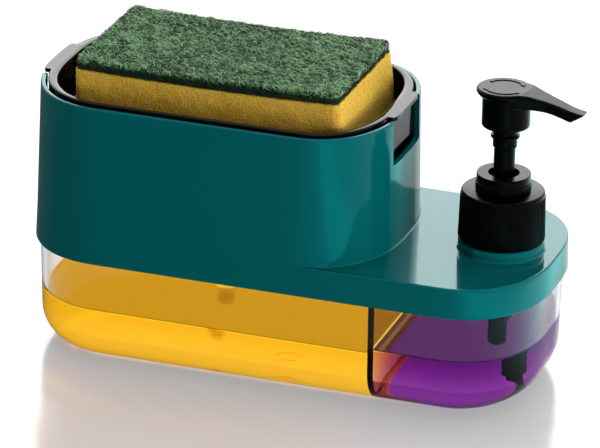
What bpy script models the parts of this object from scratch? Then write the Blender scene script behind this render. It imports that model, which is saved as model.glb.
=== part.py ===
"""Kitchen soap dispenser: a clear two-chamber tank under a teal lid.

The lid carries a sponge well. A black tray with a sponge on it sits in the well and is pressed
down to pump soap from the large chamber. A screw-on hand pump serves the small chamber.
Lengths are in metres, +Z is up, and the tank stands on z = 0 with its length along X.
"""

import math

import bmesh
import bpy
from mathutils import Matrix, Vector

for scene_object in list(bpy.data.objects):
    bpy.data.objects.remove(scene_object, do_unlink=True)

# General clearances
GAP = 0.0003
OVERRUN = 0.0020

# Lid, seen from above: superelliptic corners, longer along Y than along X
LID_LENGTH = 0.2046
LID_WIDTH = 0.0940
LEFT_CORNER_LENGTH = 0.0360
RIGHT_CORNER_LENGTH = 0.0337
CORNER_WIDTH_SHARE = 0.8936
CORNER_POWER = 2.2
CORNER_STEPS = 8
JOIN_STEPS = 2
SKIRT_WALL = 0.0014
SKIRT_HEIGHT = 0.0120
DECK_THICKNESS = 0.0020
SKIRT_DRAFT_SHARE = 0.0375
LID_FIT_GAP = 0.00035

# Sponge well, moulded with the lid, flush with its left end
WELL_LENGTH_SHARE = 0.7084
WELL_HEIGHT = 0.0505
WELL_WALL = 0.0020
WELL_CORNER_LENGTH = 0.03285
WELL_DRAFT_SHARE = 0.0233
SLOT_WIDTH = 0.0320
SLOT_DEPTH = 0.0174

# Tank
TANK_HEIGHT = 0.0420
TANK_RIM_OVERLAP = 0.0080
TANK_WALL = 0.0020
TANK_EDGE_RADIUS = 0.0136
TANK_DRAFT_SHARE = 0.023
EDGE_STEPS = 5
MARK_OUTER_RADIUS = 0.0060
MARK_INNER_RADIUS = 0.0032
MARK_DEPTH = 0.0005
MARK_SEGMENTS = 20

# Partition, its seal, and the gasket under the deck
PARTITION_SETBACK = 0.0006
PARTITION_THICKNESS = 0.0016
SEAL_WIDTH = 0.0022
SEAL_THICKNESS = 0.0012
GASKET_LIP = 0.0004
GASKET_BAR = 0.0030

# Liquids
AMBER_LEVEL = 0.0216
VIOLET_LEVEL = 0.0231

# Necks of the two pumps
NECK_RADIUS = 0.0125
NECK_BORE_RADIUS = 0.0097
NECK_FOOT_WALL = 0.0012
NECK_FOOT_LIP = 0.0008
NECK_SEGMENTS = 32
HAND_BOSS_RADIUS = 0.0164
HAND_PUMP_INSET_SHARE = 0.11144
PRESS_NECK_HEIGHT = 0.0100
THREAD_PITCH = 0.00423
THREAD_TURNS = 1.5
THREAD_HEIGHT = 0.0010
THREAD_ROOT_WIDTH = 0.0022
THREAD_CREST_WIDTH = 0.0010
THREAD_CREST_GAP = 0.0004
THREAD_SINK = 0.0003
THREAD_STEPS = 20

# Parts that both pumps share
SEAL_RING_THICKNESS = 0.0011
FLANGE_RADIUS = 0.0122
FLANGE_THICKNESS = 0.0011
CLOSURE_PLATE = 0.0020
CLOSURE_WALL = 0.0018
HOUSING_HEAD_RADIUS = 0.0070
HOUSING_SHOULDER_RADIUS = 0.0088
HOUSING_SHOULDER_HEIGHT = 0.0030
HOUSING_TAPER_HEIGHT = 0.0040
HOUSING_RADIUS = 0.0058
HOUSING_BORE_RADIUS = 0.0049
NOZZLE_RADIUS = 0.0036
NOZZLE_LENGTH = 0.0185
NOZZLE_FLOOR_GAP = 0.0035
NOZZLE_TAPER_HEIGHT = 0.0030
TUBE_RADIUS = 0.0024
TUBE_WALL = 0.0008
TUBE_GRIP = 0.0065
TUBE_FLOOR_GAP = 0.0013
BALL_RADIUS = 0.0020
BALL_SEAT_RADIUS = 0.0015
BALL_CAGE_RADIUS = 0.0026
BALL_CAGE_HEIGHT = 0.0045
GUIDE_RADIUS = 0.01025
GUIDE_STEP_WIDTH = 0.00035
GUIDE_STEP_DROP = 0.0030
GUIDE_EDGE = 0.0006
GUIDE_HOLE_RADIUS = 0.00585
GUIDE_PLATE = 0.0016
STEM_RADIUS = 0.00402
STEM_BORE_RADIUS = 0.0017
STEM_TOP_SPIGOT_RADIUS = 0.0030
STEM_FOOT_SPIGOT_RADIUS = 0.0026
SOCKET_RADIUS = 0.0046
PISTON_RUNNING_GAP = 0.00006
PISTON_HEIGHT = 0.0062
PISTON_DROP = 0.0055
PISTON_WAIST = 0.0006
PISTON_LIP_HEIGHT = 0.0009
PISTON_SEAT_RADIUS = 0.0040
PISTON_SEAT_HEIGHT = 0.0062
PISTON_SEAT_FLOOR = 0.0016
SPRING_RADIUS = 0.0038
SPRING_WIRE_RADIUS = 0.0004
SPRING_POINTS_PER_CURL = 8
PUMP_SEGMENTS = 20
BALL_SEGMENTS = 10
BALL_RINGS = 6

# Pump under the tray
PRESS_GUIDE_HEIGHT = 0.0041
PRESS_SPRING_CURLS = 6
RETAINER_BEAD = 0.0005
RETAINER_BEAD_HEIGHT = 0.0016
RETAINER_BEAD_DROP = 0.0030
RETAINER_SKIRT_HEIGHT = 0.0060

# Hand pump. HEAD_HEIGHT is the height of the head's upper face above the table, and the shares
# are of its height above the deck.
HEAD_HEIGHT = 0.1185
HAND_BOSS_SHARE = 0.0620
HAND_NECK_SHARE = 0.2264
HAND_GUIDE_SHARE = 0.1054
HEAD_BODY_SHARE = 0.3643
HEAD_SKIRT_SHARE = 0.2326
HEAD_SOCKET_SHARE = 0.1938
HAND_SPRING_CURLS = 9
COLLAR_TOP_RADIUS = 0.01585
COLLAR_FOOT_RADIUS = 0.0164
COLLAR_EDGE = 0.0005
COLLAR_SEGMENTS = 40
HEAD_PLATE_RADIUS = 0.01045
HEAD_PLATE_SETBACK = 0.0010
HEAD_PLATE_THICKNESS = 0.0018
HEAD_PLATE_EDGE = 0.0008
HEAD_PLATE_TAPER = 0.0017
HEAD_PLATE_UNDERCUT = 0.0013
HEAD_SKIRT_RADIUS = 0.0091
HEAD_SKIRT_WALL = 0.0013
HEAD_ROOF = 0.0045
LOCK_LUG_RADIUS = 0.0055
LOCK_LUG_HEIGHT = 0.0010
LOCK_LUG_EDGE = 0.0003
LOCK_LUG_RISE = 0.0039
HEAD_SEGMENTS = 32
SPOUT_REACH = 0.0308
SPOUT_DROP = 0.0098
SPOUT_WIDTH = 0.0172
SPOUT_BORE_RADIUS = 0.0014
SPOUT_SIDES = 12
SPOUT_BORE_SIDES = 10
SPOUT_SECTION_POWER = 2.6

# Spout stations: reach and drop of the section's top, then of its bottom, then its width.
# Reach and drop count from the head's axis and its upper face.
SPOUT_STATION_SHARES = (
    (0.06, 0.02, 0.06, 0.57, 0.98),
    (0.17, 0.02, 0.17, 0.57, 0.97),
    (0.26, 0.03, 0.25, 0.57, 0.81),
    (0.36, 0.08, 0.34, 0.59, 0.70),
    (0.49, 0.19, 0.46, 0.65, 0.55),
    (0.62, 0.32, 0.57, 0.72, 0.46),
    (0.81, 0.52, 0.72, 0.88, 0.38),
    (1.00, 0.63, 0.82, 1.00, 0.35),
)
# Path of the spout's bore: reach and drop as above
SPOUT_BORE_SHARES = (
    (0.00, 0.38),
    (0.30, 0.34),
    (0.52, 0.45),
    (0.72, 0.61),
    (0.92, 0.80),
    (1.10, 1.00),
)

# Sponge tray
TRAY_RIM_LIFT = 0.0013
TRAY_SIDE_GAP = 0.0008
TRAY_RIM_THICKNESS = 0.0016
TRAY_RIM_END_WIDTH = 0.0038
TRAY_RIM_SIDE_WIDTH = 0.0016
TRAY_TUB_WALL = 0.0013
TRAY_TUB_DRAFT = 0.0010
TRAY_FLOOR = 0.0018
TRAY_DEPTH = 0.0158
TAB_WIDTH = 0.0290
TAB_SETBACK = 0.0001
TONGUE_WIDTH = 0.0280
TONGUE_LENGTH = 0.0140
TONGUE_THICKNESS = 0.0013
TONGUE_GAP = 0.00047
TRAY_SOCKET_LENGTH = 0.0042
OUTLET_RADIUS = 0.0080
OUTLET_THICKNESS = 0.0010
OUTLET_HOLE_RADIUS = 0.0008
OUTLET_HOLE_CIRCLE = 0.0048
OUTLET_HOLES = 6
OUTLET_SEGMENTS = 20
HOLE_SEGMENTS = 8

# Sponge
SPONGE_LEFT_GAP = 0.0121
SPONGE_RIGHT_GAP = 0.0100
SPONGE_SIDE_GAP = 0.0080
FOAM_HEIGHT = 0.0240
PAD_HEIGHT = 0.0044
SPONGE_CORNER_RADIUS = 0.0030
SPONGE_CORNER_STEPS = 3

# Places that follow from the sizes above
LID_LEFT = -LID_LENGTH / 2
LID_RIGHT = LID_LENGTH / 2
HALF_WIDTH = LID_WIDTH / 2
CORNER_WIDTH = HALF_WIDTH * CORNER_WIDTH_SHARE
DECK_TOP = TANK_HEIGHT + SKIRT_HEIGHT
DECK_UNDERSIDE = DECK_TOP - DECK_THICKNESS
DECK_INSET = SKIRT_DRAFT_SHARE * SKIRT_HEIGHT
WELL_LENGTH = LID_LENGTH * WELL_LENGTH_SHARE
WELL_TOP = DECK_TOP + WELL_HEIGHT
WELL_TOP_INSET = DECK_INSET + WELL_DRAFT_SHARE * WELL_HEIGHT
WELL_RIGHT = LID_LEFT + WELL_LENGTH + DECK_INSET
JOIN_X = WELL_RIGHT - WELL_CORNER_LENGTH
WELL_CENTRE_X = (LID_LEFT + WELL_RIGHT) / 2
TANK_RIM = TANK_HEIGHT + TANK_RIM_OVERLAP
PARTITION_X = WELL_RIGHT - PARTITION_SETBACK
HAND_PUMP_X = LID_RIGHT - LID_LENGTH * HAND_PUMP_INSET_SHARE
HAND_PUMP_RISE = HEAD_HEIGHT - DECK_TOP
HAND_BOSS_HEIGHT = HAND_PUMP_RISE * HAND_BOSS_SHARE
HAND_NECK_HEIGHT = HAND_PUMP_RISE * HAND_NECK_SHARE
HAND_GUIDE_HEIGHT = HAND_PUMP_RISE * HAND_GUIDE_SHARE
HEAD_SKIRT_FOOT = HEAD_HEIGHT - HAND_PUMP_RISE * HEAD_SKIRT_SHARE
HEAD_SOCKET_FOOT = HEAD_HEIGHT - HAND_PUMP_RISE * HEAD_BODY_SHARE
HEAD_SOCKET_DEPTH = HAND_PUMP_RISE * HEAD_SOCKET_SHARE
PRESS_PUMP_X = WELL_CENTRE_X
HAND_NECK_TOP = DECK_TOP + HAND_BOSS_HEIGHT + HAND_NECK_HEIGHT
PRESS_NECK_TOP = DECK_TOP + PRESS_NECK_HEIGHT
NOZZLE_FOOT = TANK_WALL + NOZZLE_FLOOR_GAP
HOUSING_FOOT = NOZZLE_FOOT + NOZZLE_LENGTH
SPRING_SEAT = HOUSING_FOOT + BALL_CAGE_HEIGHT
SOCKET_BORE_RADIUS = STEM_TOP_SPIGOT_RADIUS + GAP
TRAY_RIM_TOP = WELL_TOP + TRAY_RIM_LIFT
TRAY_FLOOR_TOP = TRAY_RIM_TOP - TRAY_DEPTH
TRAY_UNDERSIDE = TRAY_FLOOR_TOP - TRAY_FLOOR
TRAY_SOCKET_FOOT = TRAY_UNDERSIDE - TRAY_SOCKET_LENGTH
TRAY_RIM_INSET = WELL_TOP_INSET + WELL_WALL + TRAY_SIDE_GAP
COLLAR_FOOT = DECK_TOP + HAND_BOSS_HEIGHT + GAP
CAVITY_END_INSET = TRAY_RIM_INSET + TRAY_RIM_END_WIDTH + TRAY_TUB_DRAFT
CAVITY_SIDE_INSET = TRAY_RIM_INSET + TRAY_RIM_SIDE_WIDTH + TRAY_TUB_DRAFT
SPONGE_LEFT = LID_LEFT + CAVITY_END_INSET + SPONGE_LEFT_GAP
SPONGE_RIGHT = WELL_RIGHT - CAVITY_END_INSET - SPONGE_RIGHT_GAP
SPONGE_LENGTH = SPONGE_RIGHT - SPONGE_LEFT
SPONGE_WIDTH = LID_WIDTH - 2 * (CAVITY_SIDE_INSET + SPONGE_SIDE_GAP)


def closure_top(neck_top):
    """Upper face of the cap that clamps the pump's flange on a neck."""
    return neck_top + SEAL_RING_THICKNESS + FLANGE_THICKNESS + 3 * GAP + CLOSURE_PLATE


def superellipse_arc(centre_x, centre_y, radius_x, radius_y, quarter, steps):
    """Quarter of a superellipse, counter-clockwise, quarter 0 starting at +X."""
    points = []
    for step in range(steps + 1):
        angle = math.radians(90 * (quarter + step / steps))
        cosine = math.cos(angle)
        sine = math.sin(angle)
        x = math.copysign(abs(cosine) ** (2 / CORNER_POWER), cosine)
        y = math.copysign(abs(sine) ** (2 / CORNER_POWER), sine)
        points.append((centre_x + radius_x * x, centre_y + radius_y * y))
    return points


def plan_loop(inset, right=LID_RIGHT, right_corner=RIGHT_CORNER_LENGTH, join_steps=JOIN_STEPS,
              left_shift=0.0, right_shift=0.0):
    """Outline seen from above, counter-clockwise from where the well's front leaves the lid's.

    The lid's outline and the well's have as many points, and share those left of JOIN_X.
    left_shift and right_shift pull the two ends further in.
    """
    half_width = HALF_WIDTH - inset
    corner_width = CORNER_WIDTH - inset
    left = LID_LEFT + inset + left_shift
    end = right - inset - right_shift
    right_corner = right_corner - inset - right_shift
    left_corner = LEFT_CORNER_LENGTH - inset - left_shift
    corner_x = end - right_corner
    corner_y = half_width - corner_width
    corner_steps = CORNER_STEPS + JOIN_STEPS - join_steps
    straight = [JOIN_X + (corner_x - JOIN_X) * step / JOIN_STEPS for step in range(1, join_steps)]
    front_arc = superellipse_arc(corner_x, -corner_y, right_corner, corner_width, 3, corner_steps)
    back_arc = superellipse_arc(corner_x, corner_y, right_corner, corner_width, 0, corner_steps)
    if join_steps == 0:
        front_arc = front_arc[1:]
        back_arc = back_arc[:-1]
    points = [(JOIN_X, -half_width)]
    points += [(x, -half_width) for x in straight]
    points += front_arc
    points += back_arc
    points += [(x, half_width) for x in reversed(straight)]
    points.append((JOIN_X, half_width))
    points += superellipse_arc(left + left_corner, corner_y, left_corner, corner_width, 1, CORNER_STEPS)
    points += superellipse_arc(left + left_corner, -corner_y, left_corner, corner_width, 2, CORNER_STEPS)
    return points


def well_loop(inset, end_shift=0.0):
    """Outline of the sponge well, inset from its foot."""
    return plan_loop(inset, WELL_RIGHT, WELL_CORNER_LENGTH, 0, end_shift, end_shift)


def clip_loop(points, limit, keep_left):
    """Part of an outline on one side of the plane x = limit."""
    kept = []
    sign = 1 if keep_left else -1
    for index, (x, y) in enumerate(points):
        next_x, next_y = points[(index + 1) % len(points)]
        inside = sign * (limit - x) > 0
        next_inside = sign * (limit - next_x) > 0
        if inside:
            kept.append((x, y))
        if inside != next_inside:
            share = (limit - x) / (next_x - x)
            kept.append((limit, y + (next_y - y) * share))
    return kept


def circle(radius, segments, centre=(0, 0)):
    angles = [math.tau * index / segments for index in range(segments)]
    return [(centre[0] + radius * math.cos(angle), centre[1] + radius * math.sin(angle)) for angle in angles]


def at_height(points, z):
    return [Vector((x, y, z)) for x, y in points]


def tank_inset(z, offset):
    """Inset of the tank's surface at height z; offset 0 is its outside, TANK_WALL its inside."""
    inset = SKIRT_WALL + LID_FIT_GAP + offset + TANK_DRAFT_SHARE * max(TANK_HEIGHT - z, 0)
    radius = TANK_EDGE_RADIUS - offset
    drop = radius - (z - offset)
    if drop > 0:
        inset += radius - math.sqrt(max(radius ** 2 - drop ** 2, 0))
    return inset


def tank_heights(offset, top):
    """Heights of the rings that follow the tank's rounded bottom edge, then its wall."""
    radius = TANK_EDGE_RADIUS - offset
    angles = [math.radians(90 * step / EDGE_STEPS) for step in range(EDGE_STEPS + 1)]
    heights = [offset + radius * (1 - math.cos(angle)) for angle in angles]
    return [z for z in heights if z < top - GAP] + [top]


def new_object(name, mesh, material=None, parent=None):
    scene_object = bpy.data.objects.new(name, mesh)
    bpy.context.scene.collection.objects.link(scene_object)
    scene_object.parent = parent
    if material:
        mesh.materials.append(material)
    return scene_object


def finish_mesh(name, bm):
    """Closed mesh from bm, its faces pointing out, round surfaces shaded smooth."""
    bmesh.ops.recalc_face_normals(bm, faces=bm.faces)
    mesh = bpy.data.meshes.new(name)
    bm.to_mesh(mesh)
    bm.free()
    mesh.shade_smooth()
    mesh.set_sharp_from_angle(angle=math.radians(35))
    return mesh


def bridge(bm, first, second):
    """Faces between two rings of vertices, left out where the rings share them."""
    count = len(first)
    for index in range(count):
        following = (index + 1) % count
        corners = []
        for vertex in (first[index], first[following], second[following], second[index]):
            if vertex not in corners:
                corners.append(vertex)
        if len(corners) > 2:
            bm.faces.new(corners)


def loft_mesh(name, *bodies):
    """Closed bodies, each through its own rings of points, with flat ends."""
    bm = bmesh.new()
    for rings in bodies:
        loops = [[bm.verts.new(point) for point in ring] for ring in rings]
        for first, second in zip(loops, loops[1:]):
            bridge(bm, first, second)
        bm.faces.new(loops[0])
        bm.faces.new(loops[-1])
    return finish_mesh(name, bm)


def lathe_mesh(name, profile, segments, closed=True):
    """Body turned about Z from (radius, height) points; an open profile ends on the axis."""
    bm = bmesh.new()
    loops = []
    for radius, height in profile:
        if radius == 0:
            loops.append([bm.verts.new((0, 0, height))] * segments)
            continue
        loops.append([bm.verts.new(point) for point in at_height(circle(radius, segments), height)])
    for first, second in zip(loops, loops[1:]):
        bridge(bm, first, second)
    if closed:
        bridge(bm, loops[-1], loops[0])
    return finish_mesh(name, bm)


def cylinder_mesh(name, radius, low, high, segments):
    outline = circle(radius, segments)
    return loft_mesh(name, [at_height(outline, low), at_height(outline, high)])


def box_mesh(name, low, high):
    corners = [(low[0], low[1]), (high[0], low[1]), (high[0], high[1]), (low[0], high[1])]
    return loft_mesh(name, [at_height(corners, low[2]), at_height(corners, high[2])])


def helix_ridge_mesh(name, root_radius, crest_radius, first_height):
    """Screw thread of trapezoid section, faded in and out over a quarter turn."""
    sections = []
    count = round(THREAD_TURNS * THREAD_STEPS)
    fade = THREAD_STEPS / 4
    for step in range(count + 1):
        angle = math.tau * step / THREAD_STEPS
        height = first_height + THREAD_PITCH * step / THREAD_STEPS
        share = min(1, (step + 1) / fade, (count + 1 - step) / fade)
        radius = root_radius + (crest_radius - root_radius) * (1 + share) / 2
        corners = (
            (root_radius, height - THREAD_ROOT_WIDTH / 2),
            (radius, height - THREAD_CREST_WIDTH / 2),
            (radius, height + THREAD_CREST_WIDTH / 2),
            (root_radius, height + THREAD_ROOT_WIDTH / 2),
        )
        sections.append([Vector((r * math.cos(angle), r * math.sin(angle), z)) for r, z in corners])
    return loft_mesh(name, sections)


def combine(target, tool, operation):
    """Boolean of target with tool, which stays as a hidden guide."""
    modifier = target.modifiers.new(tool.name, 'BOOLEAN')
    modifier.operation = operation
    modifier.solver = 'EXACT'
    modifier.object = tool
    tool.hide_render = True
    tool.display_type = 'WIRE'
    return target


def join(target, mesh, parent=None):
    return combine(target, new_object(mesh.name, mesh, parent=parent), 'UNION')


def cut(target, mesh, parent=None):
    return combine(target, new_object(mesh.name, mesh, parent=parent), 'DIFFERENCE')


def make_material(name, colour, roughness, metallic=0.0, transmission=0.0):
    material = bpy.data.materials.new(name)
    material.use_nodes = True
    shader = material.node_tree.nodes['Principled BSDF']
    shader.inputs['Base Color'].default_value = (*colour, 1)
    shader.inputs['Roughness'].default_value = roughness
    shader.inputs['Metallic'].default_value = metallic
    shader.inputs['Transmission Weight'].default_value = transmission
    return material


def make_empty(name, x):
    """Guide on a pump's axis, which carries the pump's pieces."""
    empty = bpy.data.objects.new(name, None)
    bpy.context.scene.collection.objects.link(empty)
    empty.location = (x, 0, 0)
    return empty


TEAL = (0.000, 0.100, 0.105)
BLACK = (0.008, 0.008, 0.009)


def make_tank():
    material = make_material('tank_clear', (0.95, 0.96, 0.97), 0.03, transmission=1.0)
    heights = tank_heights(0, TANK_HEIGHT) + [TANK_RIM]
    rings = [at_height(plan_loop(tank_inset(z, 0)), z) for z in heights]
    inner_heights = tank_heights(TANK_WALL, TANK_HEIGHT) + [TANK_RIM]
    rings += [at_height(plan_loop(tank_inset(z, TANK_WALL)), z) for z in reversed(inner_heights)]
    tank = new_object('tank', loft_mesh('tank', rings), material)
    mark = [
        (MARK_INNER_RADIUS, MARK_DEPTH),
        (MARK_OUTER_RADIUS, MARK_DEPTH),
        (MARK_OUTER_RADIUS, -OVERRUN),
        (MARK_INNER_RADIUS, -OVERRUN),
    ]
    cut(tank, lathe_mesh('tank_mark_cutter', mark, MARK_SEGMENTS))


def partition_section(offset):
    """Points down one wall, across the floor and up the other, in the partition's plane."""
    heights = tank_heights(offset, TANK_RIM)
    side = [(HALF_WIDTH - tank_inset(z, offset), z) for z in reversed(heights)]
    return side + [(-y, z) for y, z in reversed(side)]


def make_partition():
    clear = make_material('partition_clear', (0.95, 0.96, 0.97), 0.03, transmission=1.0)
    black = make_material('seal_black', BLACK, 0.5)
    seal_outside = TANK_WALL + GAP
    seal_inside = seal_outside + SEAL_THICKNESS
    sections = []
    for (y, z), (inner_y, inner_z) in zip(partition_section(seal_outside), partition_section(seal_inside)):
        low_x = PARTITION_X - SEAL_WIDTH / 2
        high_x = PARTITION_X + SEAL_WIDTH / 2
        sections.append([
            Vector((low_x, y, z)),
            Vector((high_x, y, z)),
            Vector((high_x, inner_y, inner_z)),
            Vector((low_x, inner_y, inner_z)),
        ])
    new_object('partition_seal', loft_mesh('partition_seal', sections), black)
    outline = partition_section(seal_inside + GAP)
    plate = []
    for x in (PARTITION_X - PARTITION_THICKNESS / 2, PARTITION_X + PARTITION_THICKNESS / 2):
        plate.append([Vector((x, y, z)) for y, z in outline])
    new_object('partition', loft_mesh('partition', plate), clear)


def make_soap(name, level, keep_left, colour, pump_x):
    """Liquid in one chamber, with a hole where the pump's tube stands in it."""
    material = make_material(name, colour, 0.05, transmission=0.9)
    offset = TANK_WALL + GAP
    side = -1 if keep_left else 1
    limit = PARTITION_X + side * (SEAL_WIDTH / 2 + GAP)
    rings = []
    for z in tank_heights(offset, level):
        rings.append(at_height(clip_loop(plan_loop(tank_inset(z, offset)), limit, keep_left), z))
    soap = new_object(name, loft_mesh(name, rings), material)
    hole = cylinder_mesh(name + '_hole', NOZZLE_RADIUS + GAP, -OVERRUN, level + OVERRUN, PUMP_SEGMENTS)
    cut(soap, hole, make_empty(name + '_hole_axis', pump_x))


def lid_shell_mesh():
    """Skirt, deck and well as one body: both outlines share the vertices left of JOIN_X."""
    bm = bmesh.new()

    def ring(points, z):
        return [bm.verts.new((x, y, z)) for x, y in points]

    deck_edge = ring(plan_loop(DECK_INSET), DECK_TOP)
    well_foot = list(deck_edge)
    shared_from = 2 * (CORNER_STEPS + JOIN_STEPS) + 1
    for index, (x, y) in enumerate(well_loop(DECK_INSET)):
        if 0 < index < shared_from:
            well_foot[index] = bm.verts.new((x, y, DECK_TOP))
    rings = [
        ring(plan_loop(SKIRT_WALL), DECK_UNDERSIDE),
        ring(plan_loop(SKIRT_WALL), TANK_HEIGHT),
        ring(plan_loop(0), TANK_HEIGHT),
        deck_edge,
        well_foot,
        ring(well_loop(WELL_TOP_INSET), WELL_TOP),
        ring(well_loop(WELL_TOP_INSET + WELL_WALL), WELL_TOP),
        ring(well_loop(DECK_INSET + WELL_WALL), DECK_TOP),
    ]
    for first, second in zip(rings, rings[1:]):
        bridge(bm, first, second)
    bm.faces.new(rings[0])
    bm.faces.new(rings[-1])
    return finish_mesh('lid', bm)


def neck_profile(boss_radius, boss_height, neck_top):
    """Tube through the deck, with a boss at its foot and a short lip below the deck."""
    foot_radius = NECK_BORE_RADIUS + NECK_FOOT_WALL
    return [
        (NECK_BORE_RADIUS, neck_top),
        (NECK_RADIUS, neck_top),
        (NECK_RADIUS, DECK_TOP + boss_height),
        (boss_radius, DECK_TOP + boss_height),
        (boss_radius, DECK_TOP - DECK_THICKNESS / 2),
        (foot_radius, DECK_TOP - DECK_THICKNESS / 2),
        (foot_radius, DECK_UNDERSIDE - NECK_FOOT_LIP),
        (NECK_BORE_RADIUS, DECK_UNDERSIDE - NECK_FOOT_LIP),
    ]


def thread_foot():
    """Height of the neck thread's first turn, below the middle of the neck."""
    return HAND_NECK_TOP - HAND_NECK_HEIGHT / 2 - THREAD_PITCH * THREAD_TURNS / 2


def make_lid(hand_axis, press_axis):
    lid = new_object('lid', lid_shell_mesh(), make_material('lid_teal', TEAL, 0.2))
    hand_neck = neck_profile(HAND_BOSS_RADIUS, HAND_BOSS_HEIGHT, HAND_NECK_TOP)
    press_neck = neck_profile(NECK_RADIUS + RETAINER_BEAD, DECK_THICKNESS, PRESS_NECK_TOP)
    hole_radius = NECK_BORE_RADIUS + NECK_FOOT_WALL / 2
    for name, profile, axis in (('hand_neck', hand_neck, hand_axis), ('press_neck', press_neck, press_axis)):
        low = DECK_UNDERSIDE - OVERRUN
        cut(lid, cylinder_mesh(name + '_hole', hole_radius, low, DECK_TOP + OVERRUN, NECK_SEGMENTS), axis)
        join(lid, lathe_mesh(name, profile, NECK_SEGMENTS), axis)
    root = NECK_RADIUS - THREAD_SINK
    crest = NECK_RADIUS + THREAD_HEIGHT
    join(lid, helix_ridge_mesh('neck_thread', root, crest, thread_foot()), hand_axis)
    inner_left = LID_LEFT + WELL_TOP_INSET + WELL_WALL
    inner_right = WELL_RIGHT - WELL_TOP_INSET - WELL_WALL
    slots = (
        ('left_slot', LID_LEFT - OVERRUN, inner_left + OVERRUN),
        ('right_slot', inner_right - OVERRUN, WELL_RIGHT + OVERRUN),
    )
    for name, low_x, high_x in slots:
        low = (low_x, -SLOT_WIDTH / 2, WELL_TOP - SLOT_DEPTH)
        cut(lid, box_mesh(name, low, (high_x, SLOT_WIDTH / 2, WELL_TOP + OVERRUN)))


def make_lid_gasket():
    """Flat seal on the tank's rim, with a bar across the partition."""
    material = make_material('gasket_silicone', (0.75, 0.76, 0.76), 0.6)
    low = TANK_RIM + GAP
    high = DECK_UNDERSIDE - GAP
    outside = plan_loop(tank_inset(TANK_RIM, 0))
    gasket = new_object('lid_gasket', loft_mesh('lid_gasket', [at_height(outside, low), at_height(outside, high)]),
                        material)
    inside = plan_loop(tank_inset(TANK_RIM, TANK_WALL) + GASKET_LIP)
    for name, keep_left, side in (('large', True, -1), ('small', False, 1)):
        opening = clip_loop(inside, PARTITION_X + side * GASKET_BAR / 2, keep_left)
        rings = [at_height(opening, low - OVERRUN), at_height(opening, high + OVERRUN)]
        cut(gasket, loft_mesh(name + '_chamber_opening', rings))


def pump_levels(neck_top, guide_height):
    """Heights along one pump, from the neck's top upwards and down to the spring."""
    levels = {'ring_low': neck_top + GAP}
    levels['ring_high'] = levels['ring_low'] + SEAL_RING_THICKNESS
    levels['flange_low'] = levels['ring_high'] + GAP
    levels['flange_high'] = levels['flange_low'] + FLANGE_THICKNESS
    levels['plate_low'] = levels['flange_high'] + GAP
    levels['plate_high'] = closure_top(neck_top)
    levels['guide_high'] = levels['plate_high'] + guide_height
    levels['housing_high'] = levels['guide_high'] - GUIDE_PLATE - GAP
    levels['piston_high'] = levels['housing_high'] - PISTON_DROP
    levels['piston_low'] = levels['piston_high'] - PISTON_HEIGHT
    levels['seat_high'] = levels['piston_low'] - GAP
    levels['seat_low'] = levels['seat_high'] - PISTON_SEAT_HEIGHT
    return levels


def make_housing(name, levels, material, axis):
    shoulder = levels['flange_low'] - HOUSING_SHOULDER_HEIGHT
    profile = [
        (HOUSING_HEAD_RADIUS, levels['housing_high']),
        (HOUSING_HEAD_RADIUS, levels['flange_high']),
        (FLANGE_RADIUS, levels['flange_high']),
        (FLANGE_RADIUS, levels['flange_low']),
        (HOUSING_SHOULDER_RADIUS, levels['flange_low']),
        (HOUSING_SHOULDER_RADIUS, shoulder),
        (HOUSING_RADIUS, shoulder - HOUSING_TAPER_HEIGHT),
        (HOUSING_RADIUS, HOUSING_FOOT + NOZZLE_TAPER_HEIGHT),
        (NOZZLE_RADIUS, HOUSING_FOOT),
        (NOZZLE_RADIUS, NOZZLE_FOOT),
        (TUBE_RADIUS + GAP, NOZZLE_FOOT),
        (TUBE_RADIUS + GAP, NOZZLE_FOOT + TUBE_GRIP),
        (BALL_SEAT_RADIUS, NOZZLE_FOOT + TUBE_GRIP),
        (BALL_SEAT_RADIUS, HOUSING_FOOT),
        (BALL_CAGE_RADIUS, HOUSING_FOOT + BALL_CAGE_RADIUS - BALL_SEAT_RADIUS),
        (BALL_CAGE_RADIUS, SPRING_SEAT),
        (HOUSING_BORE_RADIUS, SPRING_SEAT),
        (HOUSING_BORE_RADIUS, levels['housing_high']),
    ]
    new_object(name, lathe_mesh(name, profile, PUMP_SEGMENTS), material, axis)


def make_seal_ring(name, levels, axis):
    material = make_material(name, (0.70, 0.70, 0.68), 0.6)
    inner = HOUSING_SHOULDER_RADIUS + GAP
    profile = [
        (inner, levels['ring_high']),
        (FLANGE_RADIUS, levels['ring_high']),
        (FLANGE_RADIUS, levels['ring_low']),
        (inner, levels['ring_low']),
    ]
    new_object(name, lathe_mesh(name, profile, PUMP_SEGMENTS), material, axis)


def make_guide(name, levels, material, axis):
    """Cap round the housing's head, with the hole that the stem passes."""
    high = levels['guide_high']
    low = levels['plate_high'] + GAP
    foot_radius = GUIDE_RADIUS + GUIDE_STEP_WIDTH
    profile = [
        (GUIDE_HOLE_RADIUS, high),
        (GUIDE_RADIUS - GUIDE_EDGE, high),
        (GUIDE_RADIUS, high - GUIDE_EDGE),
        (GUIDE_RADIUS, high - GUIDE_STEP_DROP),
        (foot_radius, high - GUIDE_STEP_DROP - GUIDE_STEP_WIDTH),
        (foot_radius, low),
        (HOUSING_HEAD_RADIUS + GAP, low),
        (HOUSING_HEAD_RADIUS + GAP, high - GUIDE_PLATE),
        (GUIDE_HOLE_RADIUS, high - GUIDE_PLATE),
    ]
    new_object(name, lathe_mesh(name, profile, HEAD_SEGMENTS), material, axis)


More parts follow.
